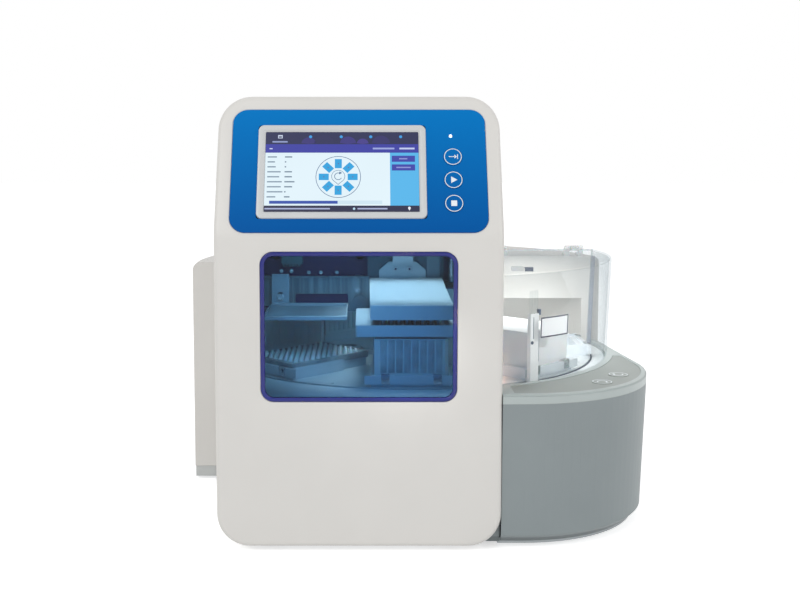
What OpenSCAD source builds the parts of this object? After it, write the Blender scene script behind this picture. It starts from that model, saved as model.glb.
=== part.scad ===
// Rotary nucleic acid extractor: a tower with a two-stage lifting head stands over a
// carousel of eight microplate nests, with a clear loading cover on the right.
// Tower frame: X = 0 on the tower's centre line, Y = 0 on the lower front face, Z up.

/* [Tower] */
// Width of the front panel
tower_w = 310; // [300:1:330]
// Height of the tower
tower_h = 496; // [485:1:520]
// Height where the console starts to lean back
fold_h = 348; // [340:1:352]
// Lean of the console in degrees
lean = 25; // [20:1:27]
// Radius of the panel's corners seen from the front
panel_corner_r = 36; // [24:1:44]
// Depth of the front panel's rim
panel_t = 12; // [10:0.5:16]
// Wall of the moulded covers
cover_wall = 3; // [2.5:0.25:3.5]
// Outer radius of the bulge round the carousel in the tower's left wall
bulge_r = 251.5; // [251:0.5:255]

/* [Window] */
// Width of the window
window_w = 211; // [190:1:230]
// Height of the window
window_h = 162; // [150:1:164]
// Height of the window's lower edge
window_z = 167; // [166:1:175]
// Corner radius of the window
window_r = 14; // [8:1:20]
// Width of the window's bevelled edge
window_edge = 4.5; // [3:0.5:6]

/* [Console] */
// Width of the console panel
console_w = 277; // [270:1:284]
// Height of the console panel along the slope
console_h = 145; // [136:1:147]
// Width of the visible screen
screen_w = 167; // [140:1:172]
// Height of the visible screen along the slope
screen_h = 94; // [80:1:98]
// Border of the screen frame
screen_border = 8; // [5:0.5:10]
// Radius of a round console key
key_r = 9.9; // [7:0.1:11.5]
// Distance between the console keys
key_pitch = 27.3; // [24:0.1:28]
// How far a key moves when pressed
key_travel = 0.6; // [0.4:0.1:1]

/* [Carousel] */
// Carousel axis to the right of the tower's centre line
axis_x = 59; // [58:0.5:60]
// Carousel axis behind the front face
axis_y = 299; // [298:0.5:301]
// Edge of the carousel disc beyond the plates
disc_edge = 9.24; // [8:0.01:10]
// Number of plate nests
nests = 8; // [4:1:8]
// Height of the deck round the carousel
deck_z = 168.5; // [166:0.5:169]
// Thickness of the carousel disc
carousel_t = 5; // [4:0.5:6]
// Radius from the axis to a plate's inner end
plate_inner_r = 108; // [106:0.5:109]

/* [Plates] */
// Length of a microplate
plate_l = 127.76; // [127:0.01:128]
// Width of a microplate
plate_w = 85.48; // [85:0.01:86]
// Height of a deep-well plate
deep_h = 44; // [38:0.5:45]
// Height of a shallow elution plate
shallow_h = 15; // [12:0.5:20]
// Distance between wells
well_pitch = 9; // [8.9:0.05:9]
// Side of a square deep well
well_side = 8.2; // [7:0.1:8.3]
// Play round a plate in its nest
plate_play = 0.4; // [0.3:0.1:0.6]

/* [Base] */
// Height of the base with its rim
base_h = 174; // [172:0.5:178]
// Height of the rim's band
rim_h = 10; // [8:0.5:12]
// Wall of the base shell
base_wall = 3; // [2.5:0.25:4]
// Radius of the base's front corner
base_corner_r = 165; // [160:1:176]
// How far the base's right side lies outside the clear cover
base_side = 23; // [18:0.5:28]
// Inward taper of the base at its foot
base_taper = 5; // [3:0.5:10]
// Height and depth of the chamfer round the base's foot
foot_chamfer = 9; // [4:0.5:12]
// Width of the rim round the touch deck
rim_border = 9; // [6:0.5:12]
// Height of a rubber foot
foot_h = 5; // [4:0.5:7]

/* [Rear housing and cover] */
// Height of the rear housing
housing_h = 290; // [286:0.5:294]
// Depth of the loading bay behind the carousel axis
bay_back = 60; // [50:1:70]
// How far the rear housing lies outside the clear cover
housing_gap = 15; // [13:0.5:18]
// How far the clear cover lies outside the carousel disc
cover_gap = 19; // [17:0.5:22]
// Rise of the clear cover over the rear housing
cover_rise = 10; // [8:0.5:14]
// Wall of the clear cover
lid_wall = 3; // [2:0.25:4]

/* [Lifting head] */
// Width of the magnet head's cover
head_w = 93; // [88:0.5:98]
// Length of the magnet head's cover
head_l = 188; // [180:1:188]
// Height of the cover's front lower edge
head_z = 246.6; // [245:0.1:248]
// Height of the head cover's front face
head_face_h = 17; // [14:0.5:20]
// Width of the sleeve frame
sleeve_w = 126; // [120:0.5:127]
// Length of the sleeve frame
sleeve_l = 134; // [132:0.5:140]
// Height of the sleeve frame's underside
sleeve_z = 227.5; // [226.5:0.1:228.5]
// Thickness of the sleeve frame
sleeve_t = 13; // [12:0.5:14]
// Radius of a magnet rod
rod_r = 2.4; // [2:0.1:2.6]
// Width of a lift rail
rail_w = 19; // [16:0.5:20]
// Distance between the two lift rails
rail_pitch = 70; // [66:1:74]

/* [Drip tray] */
// Width of the drip tray
tray_w = 98; // [90:1:100]
// Length of the drip tray
tray_l = 112; // [100:1:114]
// Height of the drip tray's lip
tray_lip = 4.5; // [3:0.5:6]
// Height of the tray's floor
tray_z = 237; // [234:0.5:239]

/* [Hidden] */
$fn = 96;
white = "#e4e2de";
grey = "#8b9496";
steel = "#b9c0c4";
seat = 0.3;     // gap between a moving piece and what carries it
fit = 0.05;     // radial play of a shaft in its bearing
eps = 0.01;
sink = 0.04;     // how far a tangent line lies inside its circles, so that they join

carousel_r = plate_inner_r + plate_l + disc_edge;
lid_r = carousel_r + cover_gap;         // outer radius of the clear cover
lid_top = housing_h + cover_rise;
housing_r = lid_r + housing_gap;
base_right = lid_r + base_side;
// the bounding box's bottom centre is the origin
origin_x = axis_x + (base_right - housing_r) / 2;
origin_y = (axis_y + housing_r) / 2;
module in_tower() translate([-origin_x, -origin_y, 0]) children();
module on_axis() in_tower() translate([axis_x, axis_y, 0]) children();

// ---- small helpers ----
// box given by its spans in x, y and z
module span(x, y, z)
  translate([x[0], y[0], z[0]]) cube([x[1] - x[0], y[1] - y[0], z[1] - z[0]]);
// upright cylinder between two heights
module post(r, z0, z1) translate([0, 0, z0]) cylinder(r = r, h = z1 - z0);
// rounded rectangle round the origin
module round_rect(w, h, r) {
  square([w - 2 * r, h], center = true);
  square([w, h - 2 * r], center = true);
  for (x = [-1, 1], y = [-1, 1]) translate([x * (w / 2 - r), y * (h / 2 - r)]) circle(r = r);
}
// flat shape stood up as a plate from y = 0 towards +Y
module upright(t) rotate([90, 0, 0]) mirror([0, 0, 1]) linear_extrude(t) children();
// the leaning console's frame: z runs up the slope, y runs into the tower
module on_slope() in_tower() translate([0, 0, fold_h]) rotate([-lean, 0, 0]) children();
// socket-head screw with its head towards -Y
module screw_front(r, head_h, shaft) {
  rotate([90, 0, 0]) difference() {
    cylinder(r = r, h = head_h);
    translate([0, 0, head_h / 2]) cylinder(r = r * 0.45, h = head_h, $fn = 6);
  }
  rotate([-90, 0, 0]) cylinder(r = r * 0.55, h = shaft);
}

// ---- plan outlines, round the carousel axis ----
tower_right = tower_w / 2 - cover_wall - axis_x;    // outer face of the right wall
tower_rear = -27;                                   // back of the tower, where the housing starts
front_y = -axis_y + 1;                              // front of the base
corner_c = [base_right - base_corner_r, front_y + base_corner_r];
base_rear_r = lid_r + rim_border;
// tangent from the rear circle to the corner circle
corner_d = norm(corner_c);
tangent_a = atan2(corner_c[1], corner_c[0]) + acos((base_rear_r - base_corner_r) / corner_d);
tangent_l = sqrt(corner_d * corner_d - pow(base_rear_r - base_corner_r, 2));
tangent_depth = 60;
module base_outline(inset = 0) difference() {
  union() {
    circle(r = base_rear_r - inset, $fn = 240);
    translate(corner_c) circle(r = base_corner_r - inset, $fn = 240);
    // flat side between the two circles
    translate(corner_c) rotate(tangent_a) translate([-tangent_depth, -sink])
      square([tangent_depth + base_corner_r - inset - sink, tangent_l + 2 * sink]);
    translate([0, front_y + inset]) square([corner_c[0], -front_y]);
  }
  // the tower, its front panel and the rear housing take the left side
  translate([-400, -400]) square([400 + tower_right + seat, 400 + tower_rear]);
  translate([-400, -400]) square([400 + tower_w / 2 - axis_x + seat, 400 - axis_y + panel_t + seat]);
  translate([-400, tower_rear - 1]) square([400 - housing_split, 400]);
}
foot_inset = base_taper + foot_chamfer;             // the base's foot lies this far inside its rim
// the same outline without the cuts, with fewer facets, for the tapered shell
module base_hull(inset) hull() {
  circle(r = base_rear_r - inset);
  translate(corner_c) circle(r = base_corner_r - inset);
  translate([0, front_y + inset]) square([corner_c[0], 1]);
}
housing_split = 70;    // the housing reaches the floor to the left of this
module housing_outline(r, inset = 0) difference() {
  circle(r = r);
  translate([-400, -400]) square([800, 400 + tower_rear + inset]);
  translate([tower_right - inset, -400]) square([400, 400 + bay_back + inset]);
}
// the tower's walls in plan, in the tower frame: straight, with a bulge round the carousel
left_x = -(tower_w / 2 - cover_wall);
wall_front = panel_t + 0.2;
tower_back_y = axis_y + tower_rear;
module tower_box(inset = 0) translate([left_x + inset, wall_front])
  square([-2 * (left_x + inset), tower_back_y - wall_front]);
module tower_bulge(inset = 0) intersection() {
  translate([axis_x, axis_y]) circle(r = bulge_r - inset, $fn = 240);
  translate([-400, 0]) square([400, tower_back_y]);
}
module tower_plan(inset = 0) {
  tower_box(inset);
  tower_bulge(inset);
}

// ---- base ----
plate_t = 3;
base_z = foot_h + plate_t;
module base_plate() color("#5b6062") on_axis() difference() {
  translate([0, 0, foot_h]) linear_extrude(plate_t) {
    base_outline(foot_inset + 1);
    translate([-axis_x, -axis_y]) {
      translate([-tower_w / 2 + panel_corner_r + 2, wall_front + 2])
        square([tower_w - 2 * panel_corner_r - 4, tower_back_y - wall_front]);
      translate([0, 40]) square([-left_x + 30, tower_back_y - 40]);
    }
    intersection() {
      circle(r = housing_r - cover_wall - 1.5);
      translate([-400, tower_rear + cover_wall + 1]) square([400 - housing_split, 400]);
    }
    intersection() {
      circle(r = base_rear_r - foot_inset - 1);
      translate([-housing_split - 1, tower_rear - 2]) square([400, 400]);
    }
  }
  for (a = [0:45:315]) rotate(a) for (r = [60, 72, 84])
    translate([r, 0, foot_h - 1]) cylinder(r = 3, h = plate_t + 2);
}
foot_places = [[-100, 35], [100, 35], [axis_x + 205, 165], [axis_x + 190, 380],
  [axis_x - 50, axis_y + 225], [axis_x - 215, axis_y + 60]];
module rubber_feet() color("#26282a") in_tower() for (p = foot_places) translate(p) {
  rotate_extrude() polygon([[0, 0], [12, 0], [14, 1.5], [13, foot_h], [0, foot_h]]);
}
module base_shell() color(grey) on_axis() difference() {
  hull() {
    translate([0, 0, base_h - rim_h - 1]) linear_extrude(1) base_hull(0);
    translate([0, 0, base_z + foot_chamfer]) linear_extrude(1) base_hull(base_taper);
    translate([0, 0, base_z]) linear_extrude(1) base_hull(foot_inset);
  }
  hull() {
    translate([0, 0, base_h - rim_h]) linear_extrude(1) base_hull(base_wall);
    translate([0, 0, base_z + foot_chamfer]) linear_extrude(1) base_hull(base_taper + base_wall);
    translate([0, 0, base_z - 1]) linear_extrude(1) base_hull(foot_inset + base_wall);
  }
  span([-400, tower_w / 2 - axis_x + seat], [-400, -axis_y + panel_t + seat], [0, base_h]);
  span([-400, tower_right + seat], [-400, tower_rear], [0, base_h]);
  span([-400, -housing_split], [-400, 400], [0, base_h]);
}
rim_top = base_h;
recess = 2;
deck_left = 110;
deck_back = -68;
module crescent(inset) difference() {
  translate([3, 2]) base_outline(rim_border + inset);
  circle(r = base_rear_r + inset, $fn = 240);
  translate([-400, deck_back - inset]) square([800, 400]);
  translate([-400, -400]) square([400 + deck_left + inset, 800]);
}
module base_rim() color("#b3bcbb") on_axis() difference() {
  union() {
    translate([0, 0, base_h - rim_h]) linear_extrude(rim_h - 1.5) base_outline();
    translate([0, 0, base_h - 1.5 - eps]) linear_extrude(1.5) base_outline(1);
  }
  translate([0, 0, base_h - rim_h - 1]) linear_extrude(rim_h + 2) circle(r = lid_r + seat);
  // behind the loading bay the housing sits in the rim
  span([-400, 400], [bay_back - seat, 400], [base_h - 4, base_h + 1]);
  translate([0, 0, base_h - recess]) linear_extrude(recess + 1) crescent(0);
  for (a = deck_key_angles) at_deck_key(a) post(4, base_h - rim_h - 1, base_h - 1);
}
// the two deck keys lie on an arc inside the base's round corner
deck_key_angles = [-44.6, -23.5];
deck_key_r = 11.4;
deck_key_inset = 30.5;
module at_deck_key(a) translate(corner_c) rotate(a) translate([base_corner_r - deck_key_inset, 0])
  children();
module touch_deck() color("#9fa5a2") on_axis() difference() {
  translate([0, 0, base_h - recess]) linear_extrude(recess - 0.6) crescent(0.2);
  for (a = deck_key_angles) at_deck_key(a) post(deck_key_r + seat, base_h - recess - 1, base_h + 1);
}
module deck_key(a) color("#a9afac") on_axis() at_deck_key(a) {
  post(deck_key_r, base_h - recess + key_travel + 0.1, base_h + 0.1);
  post(4 - seat, base_h - rim_h + 2, base_h - recess + key_travel + 0.2);
}
module deck_key_left() deck_key(deck_key_angles[0]);
module deck_key_right() deck_key(deck_key_angles[1]);

// fixed deck round the carousel, with the drive's opening under the disc
floor_t = 3;
deck_gap = 1.5;
leg_r = 3.5;
module deck_plan() difference() {
  union() {
    intersection() {
      circle(r = lid_r - 0.5);
      union() {
        translate([-400, tower_rear + cover_wall + seat]) square([800, 400]);
        translate([cover_wall - bulge_r + 2.5, tower_rear - 1]) square([bulge_r, cover_wall + 2]);
        translate([tower_right - cover_wall - 1, -400]) square([400, 800]);
      }
    }
    translate([-axis_x, -axis_y]) tower_plan(cover_wall + seat);
  }
  circle(r = carousel_r + deck_gap);
}
module bay_floor() color("#c9d2d4") on_axis() {
  translate([0, 0, deck_z - floor_t]) linear_extrude(floor_t) deck_plan();
  // turned-down edge that guards the carousel's rim
  translate([0, 0, deck_z - 18]) difference() {
    cylinder(r = carousel_r + deck_gap + 2, h = 18 - floor_t + eps);
    translate([0, 0, -1]) cylinder(r = carousel_r + deck_gap, h = 20);
  }
  // legs down to the base plate
  for (a = [-66, -22, 40, 112, 168]) rotate(a) translate([carousel_r + deck_gap + leg_r, 0])
    post(leg_r, base_z, deck_z - floor_t + eps);
  for (x = [-1, 1]) translate([-axis_x + x * 108, -axis_y + 30]) post(5, base_z, deck_z - floor_t + eps);
}

// ---- tower covers ----
panel_foot = 6;
slope_rise = tower_h - fold_h;
// side profile of the panel: upright below the fold and leaning above it
module panel_side(y0, y1) polygon([[y0, 0], [y0, fold_h + y0 * tan(lean / 2)], [y0 / cos(lean) + slope_rise * tan(lean), tower_h],
  [y1 / cos(lean) + slope_rise * tan(lean), tower_h], [y1, fold_h + y1 * tan(lean / 2)], [y1, 0]]);
module panel_front(inset) translate([0, (tower_h + panel_foot) / 2])
  round_rect(tower_w - 2 * inset, tower_h - panel_foot - 2 * inset, panel_corner_r - inset);
module panel_solid(inset, y0, y1) intersection() {
  upright(200) panel_front(inset);
  translate([-tower_w, 0, 0]) rotate([90, 0, 90]) linear_extrude(2 * tower_w) panel_side(y0, y1);
}
module front_panel() color(white) in_tower() difference() {
  panel_solid(0, 0, panel_t);
  // hollow behind the panel's wall
  panel_solid(cover_wall, cover_wall, panel_t + 8);
  // window
  translate([0, -1, window_z + window_h / 2]) upright(30) round_rect(window_w + 2 * seat, window_h + 2 * seat, window_r);
  // opening behind the console, and the shallow recess that its panel lies in
  translate([0, 0, fold_h]) rotate([-lean, 0, 0]) {
    translate([0, -1, console_s]) upright(2.2) round_rect(console_w, console_h, 17);
    translate([0, 1, console_s]) upright(20) round_rect(console_w - 16, console_h - 16, 10);
  }
}
console_s = 74.2;
// side profile behind the panel
tower_top_y = slope_rise * tan(lean) + panel_t / cos(lean) + 0.6;
module tower_side() polygon([[wall_front, 0], [tower_back_y, 0], [tower_back_y, tower_h],
  [tower_top_y, tower_h], [wall_front, fold_h + 2.8]]);
// front outline of the tube behind the panel, with the panel's round corners
tube_r = panel_corner_r - cover_wall;
module tower_tube(inset) translate([0, (tower_h + panel_foot) / 2])
  round_rect(-2 * left_x - 2 * inset, tower_h - panel_foot - 2 * inset, tube_r - inset);
opening_top = 250;
slot_top = 231;       // the plates pass under this edge into the rear housing
module tower_shell() color(white) in_tower() difference() {
  union() {
    intersection() {
      upright(tower_back_y) tower_tube(0.2);
      translate([-300, 0, 0]) rotate([90, 0, 90]) linear_extrude(600) tower_side();
    }
    translate([0, 0, housing_z]) linear_extrude(housing_h - 2 - housing_z) difference() {
      tower_bulge(0);
      translate([left_x + 1, 0]) square([400, 400]);
    }
  }
  translate([0, -1, 0]) upright(tower_back_y + 2) tower_tube(cover_wall);
  translate([0, 0, housing_z - 1]) linear_extrude(housing_h - 1 - cover_wall - housing_z)
    tower_bulge(cover_wall - 0.6);
  // open underneath, between the rounded lower corners
  span([left_x + tube_r, -left_x - tube_r], [0, tower_back_y + 1], [0, 30]);
  // the carousel passes through the right wall, and the base fills the lower right
  span([-left_x - 10, -left_x + 10], [48, tower_back_y + 1], [deck_z - 6, opening_top]);
  span([-left_x - tube_r - 1, -left_x + 10], [30, tower_back_y + 1], [0, deck_z - 5]);
}
back_screw_x = 120;
back_t = 3;
// ring slots in front of the fan, parted by four spokes
module fan_grille() for (r = [6:6:24]) difference() {
  circle(r = r + 4);
  circle(r = r);
  for (a = [45, 135]) rotate(a) square([80, 2.4], center = true);
}
module tower_back() color(white) in_tower() difference() {
  intersection() {
    translate([0, 0, housing_h + 0.3]) linear_extrude(tower_h - cover_wall - housing_h - 0.6) tower_box(cover_wall + seat);
    upright(tower_back_y) tower_tube(cover_wall + seat);
    span([-300, 300], [tower_back_y - back_t - 0.5, tower_back_y - 0.5], [0, tower_h]);
  }
  // fan opening, vents and cover screws
  translate([fan_x, tower_back_y - 7, fan_z]) upright(9) fan_grille();
  for (i = [0:9]) translate([60, tower_back_y - 7, 360 + i * 10]) upright(9) round_rect(90, 4, 1.9);
  for (x = [-1, 1], z = [310, 480]) translate([x * back_screw_x, tower_back_y - 7, z]) upright(9) circle(r = 1.6);
}

// ---- rear housing ----
edge_r = 10;
// revolved wall with a rounded shoulder; grow is the distance inside the outer face
module housing_body(grow, z0) rotate_extrude($fn = 128) {
  translate([0, z0]) square([housing_r - grow, housing_h - edge_r - z0]);
  square_top = housing_h - grow;
  translate([0, housing_h - edge_r - eps]) square([housing_r - edge_r, edge_r - grow]);
  translate([housing_r - edge_r, housing_h - edge_r]) intersection() {
    circle(r = edge_r - grow);
    square(edge_r);
  }
}
foot_strip_h = 14;
housing_z = foot_h - 1;
module housing_cut(inset) difference() {
  translate([0, 0, -1]) linear_extrude(housing_h + 2) housing_outline(housing_r + 1, inset);
  // the right-hand part starts on the base rim
  span([-housing_split - inset, 400], [-400, 400], [-2, base_h - 4 + (inset > 0 ? -10 : 0)]);
}
module rear_housing() color(white) on_axis() difference() {
  intersection() { housing_body(0, housing_z + foot_strip_h); housing_cut(0); }
  intersection() {
    housing_body(cover_wall, -5);
    union() {
      housing_cut(cover_wall);
      translate([0, 0, -1]) linear_extrude(deck_z) housing_outline(housing_r + 1, cover_wall);
    }
  }
  // slots for the carousel: into the tower and into the loading bay
  span([cover_wall - bulge_r, tower_right - cover_wall], [tower_rear - 1, tower_rear + 4],
    [0, housing_h - 16]);
  span([tower_right - 6, tower_right + 1], [tower_rear - 1, bay_back + 4], [0, slot_top]);
  intersection() {
    span([tower_right - 6, 400], [bay_back - 1, bay_back + 4], [0, slot_top]);
    cylinder(r = lid_r - 8, h = 400);
  }
  // rear fittings: inlet, switch and data port
  at_rear(inlet_a) socket_body(27, 20, seat);
  at_rear(switch_a) socket_body(13.6, 19, seat);
  at_rear(port_a) socket_body(13, 12, seat);
}
// the rear fittings sit side by side low in the housing's curved wall
inlet_a = 122;
switch_a = 128.5;
port_a = 115;
module at_rear(a) rotate(a) translate([housing_r, 0, 60]) children();
module socket_body(w, h, play = 0) translate([-24, -w / 2 - play, -h / 2 - play])
  cube([30, w + 2 * play, h + 2 * play]);
module housing_foot() color(grey) on_axis() difference() {
  translate([0, 0, housing_z]) linear_extrude(foot_strip_h) intersection() {
    housing_outline(housing_r - 0.8, 0.8);
    translate([-400, -400]) square([400 - housing_split, 800]);
  }
  linear_extrude(50) housing_outline(housing_r - 4, 4);
  // open towards the tower
  span([left_x - axis_x + cover_wall, 0], [tower_rear, tower_rear + 6], [0, 50]);
}

// ---- clear cover ----
lid_left = tower_right + 1;
lid_back = bay_back - 1;
hinge_z = lid_top + 1;
hinge_y = bay_back + 3.5;
module lid_plan(r) difference() {
  circle(r = r);
  translate([-400, -400]) square([400 + lid_left, 800]);
  translate([-400, lid_back]) square([800, 400]);
}
lid_foot = deck_z + 0.5;
module clear_cover() color("#dfe8ea", 0.35) on_axis() {
  difference() {
    union() {
      translate([0, 0, lid_foot]) linear_extrude(lid_top - lid_foot - 2) lid_plan(lid_r);
      translate([0, 0, lid_top - 2 - eps]) linear_extrude(2) lid_plan(lid_r - 1.2);
    }
    post(lid_r - lid_wall, lid_foot - 1, lid_top - lid_wall);
  }
}
hinge_xs = [lid_left + 25, lid_left + 130];
hinge_len = 26;
module cover_hinge() color("#aab2b5") on_axis() for (x = hinge_xs) {
  // knuckle carried by the housing, with its pin
  translate([x, hinge_y, hinge_z]) rotate([0, 90, 0]) cylinder(r = 2, h = hinge_len);
  for (s = [0, hinge_len - 7]) translate([x + s, 0, 0]) {
    span([0, 7], [hinge_y - 3.5, hinge_y + 18], [housing_h, housing_h + 3]);
    span([0, 7], [hinge_y - 3, hinge_y + 3], [housing_h + 2, hinge_z]);
    translate([0, hinge_y, hinge_z]) rotate([0, 90, 0]) cylinder(r = 3.5, h = 7);
  }
}
module cover_catch() color("#3a4650") on_axis() {
  // hinge leaves on the cover, and the dark catch that hangs inside its front
  for (x = hinge_xs) translate([x + 7.4, 0, 0]) difference() {
    union() {
      translate([0, hinge_y, hinge_z]) rotate([0, 90, 0]) cylinder(r = 3.5, h = hinge_len - 14.8);
      span([0, hinge_len - 14.8], [lid_back - 16, hinge_y], [lid_top, lid_top + 2.5]);
    }
    translate([-1, hinge_y, hinge_z]) rotate([0, 90, 0]) cylinder(r = 2 + fit, h = hinge_len);
  }
  translate([lid_left + 30, -150, lid_top - lid_wall - 5]) cube([14, 10, 5]);
}

// ---- window ----
window_mid = window_z + window_h / 2;
module window_pane() color("#5f8fc0", 0.4) in_tower() translate([0, 0.8, window_mid])
  upright(3) round_rect(window_w - 2 * window_edge, window_h - 2 * window_edge, window_r - window_edge);
module window_edging() color("#4a4fa8", 0.7) in_tower() translate([0, -0.6, window_mid]) difference() {
  union() {
    upright(4.5) round_rect(window_w, window_h, window_r);
    translate([0, 4, 0]) upright(2) round_rect(window_w - 2, window_h - 2, window_r - 1);
  }
  translate([0, -1, 0]) upright(9)
    round_rect(window_w - 2 * window_edge, window_h - 2 * window_edge, window_r - window_edge);
}

// ---- console ----
screen_x = -18.5;
screen_s = 72.3;
key_x = 102;
key_s = 62.1;
led_s = 115;
console_t = 2.4;
board_y = 7.5;
frame_w = screen_w + 2 * screen_border;
frame_h = screen_h + 2 * screen_border;
module console_panel() color("#0a6fbf") on_slope() difference() {
  translate([0, -0.9, console_s]) upright(console_t - 0.4) round_rect(console_w - 2 * seat, console_h - 2 * seat, 16.5);
  translate([screen_x, -2, screen_s]) upright(6) round_rect(frame_w + 2 * fit, frame_h + 2 * fit, 3);
  for (i = [-1:1]) translate([key_x, -2, key_s + i * key_pitch]) upright(6) circle(r = key_r + seat);
  translate([key_x - 1.8, -2, led_s]) upright(6) circle(r = 2.5);
}
module screen_frame() color("#c9ccd0") on_slope() translate([screen_x, -2.6, screen_s]) difference() {
  upright(5) round_rect(frame_w, frame_h, 3);
  translate([0, -1, 0]) upright(9) round_rect(screen_w, screen_h, 1.5);
}
module touchscreen() color("#1b2a4a") on_slope() {
  translate([screen_x, -1, screen_s]) upright(3.6) round_rect(screen_w - 2 * fit, screen_h - 2 * fit, 1.6);
  translate([screen_x, 2.5, screen_s]) upright(4.6) square([frame_w - 4, frame_h - 4], center = true);
}
module status_led() color("#9fd4ff") on_slope() translate([key_x - 1.8, -1.6, led_s]) rotate([-90, 0, 0])
  rotate_extrude($fn = 48) polygon([[0, 0], [1.6, 0.3], [2.3, 1.2], [2.3, 8.8], [0, 8.8]]);
module console_key(i) color("#1583d6") on_slope() translate([key_x, 0, key_s + i * key_pitch]) {
  translate([0, -1.9, 0]) rotate([-90, 0, 0]) rotate_extrude($fn = 64)
    polygon([[0, 0], [key_r - 0.8, 0], [key_r, 0.8], [key_r, 3], [0, 3]]);
  translate([0, 1, 0]) rotate([-90, 0, 0]) cylinder(r = 3, h = board_y - 1 - key_travel - 0.1);
}
module key_upper() console_key(1);
module key_middle() console_key(0);
module key_lower() console_key(-1);
// circuit board behind the console, on four posts
module console_board() color("#1f6b4a") on_slope() {
  translate([0, board_y, console_s]) upright(1.6) square([console_w - 20, console_h - 20], center = true);
  for (x = [-1, 1], s = [-1, 1]) translate([x * (console_w / 2 - 13), 3, console_s + s * (console_h / 2 - 13)])
    rotate([-90, 0, 0]) cylinder(r = 3, h = 4.6);
  translate([-20, 9, console_s]) upright(9) square([60, 40], center = true);
}

// ---- chassis and lift ----
chassis_y = 264;
chassis_t = 3.5;
rail_t = 5;
head_mid = axis_x;
fan_x = -60;
fan_z = 400;
fan_w = 60;
chassis_z = [256, tower_h - 38];
// back plate with folded sides, fixed between the tower's walls
module chassis_plate() color("#2c3350") in_tower() difference() {
  translate([0, 0, chassis_z[0]]) linear_extrude(chassis_z[1] - chassis_z[0]) difference() {
    tower_box(cover_wall + seat);
    translate([-300, 0]) square([600, chassis_y - 70]);
    translate([-300, chassis_y + chassis_t]) square([600, 60]);
    intersection() {
      tower_box(cover_wall + seat + 3);
      translate([-300, 0]) square([600, chassis_y]);
    }
  }
  translate([fan_x, chassis_y - 1, fan_z]) upright(8) round_rect(fan_w + 4, fan_w + 4, 5);
  for (x = [-150, -110, 0], z = [300, 330]) translate([x, chassis_y - 1, z]) upright(8) circle(r = 6);
}
module lift_rails() color(steel) in_tower() for (s = [-1, 1])
  translate([head_mid + s * rail_pitch / 2, chassis_y - rail_t - seat, 0]) difference() {
    span([-rail_w / 2, rail_w / 2], [0, rail_t], [chassis_z[0] + 2, chassis_z[1] - 2]);
    for (x = [-1, 1]) translate([x * rail_w / 2, rail_t / 2, 257]) cylinder(r = 1.4, h = 200);
    for (z = [chassis_z[0] + 24:38:chassis_z[1] - 8]) translate([0, -1, z]) rotate([-90, 0, 0]) cylinder(r = 2.6, h = 3);
  }
// sleeve carriage: rides on the rails and carries the sleeve frame and the magnet lift
carriage_w = 98;
plate_y = 253;                     // front face of the carriage's back plate
plate_th = 4;
rail_front = chassis_y - rail_t - seat;
screw_r = 5;
lift_x = head_mid + 60;
lift_y = plate_y - 5;
motor_z = tower_h - 56;
magnet_y = plate_y - 13;
magnet_motor_z = 366;
magnet_stroke = 30;
journal_r = 3.5;
shelf_t = 5;
// lead screw up to the shelf of its motor, with its coupling and the shaft through the shelf
module lead_screw(z0, shelf_z, coupling) {
  post(screw_r, z0, shelf_z - 2);
  post(screw_r + 3, shelf_z - 1 - coupling, shelf_z - 1);
  post(journal_r, shelf_z - 2, shelf_z + shelf_t - seat);
}
// stepper motor standing on its shelf, with its corners cut
module stepper(w, h) {
  difference() {
    translate([-w / 2, -w / 2, 0]) cube([w, w, h]);
    for (a = [0:90:270]) rotate(a) translate([w / 2, w / 2, -1]) rotate(45)
      cube([5, 5, 3 * h], center = true);
  }
  for (z = [0.25, 0.72]) translate([0, 0, h * z]) post(w * 0.53, 0, 1);
}
foot_bearing_z = 262;
module lift_screw() color("#d0d3d6") in_tower() translate([lift_x, lift_y, 0]) {
  lead_screw(foot_bearing_z + shelf_t + seat, motor_z - shelf_t, 16);
  post(journal_r, foot_bearing_z + 1, foot_bearing_z + shelf_t + 1);
}
module lift_motor() color("#2b2d30") in_tower() {
  translate([lift_x, lift_y, motor_z]) stepper(30, 30);
  // motor shelf and the foot bearing of the screw, fixed to the chassis plate
  for (z = [motor_z - shelf_t, foot_bearing_z]) difference() {
    span([lift_x - 9, lift_x + 12], [lift_y - 12, chassis_y - seat], [z, z + shelf_t]);
    translate([lift_x, lift_y, z - 1]) cylinder(r = journal_r + fit, h = shelf_t + 1 + eps);
  }
}
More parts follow.
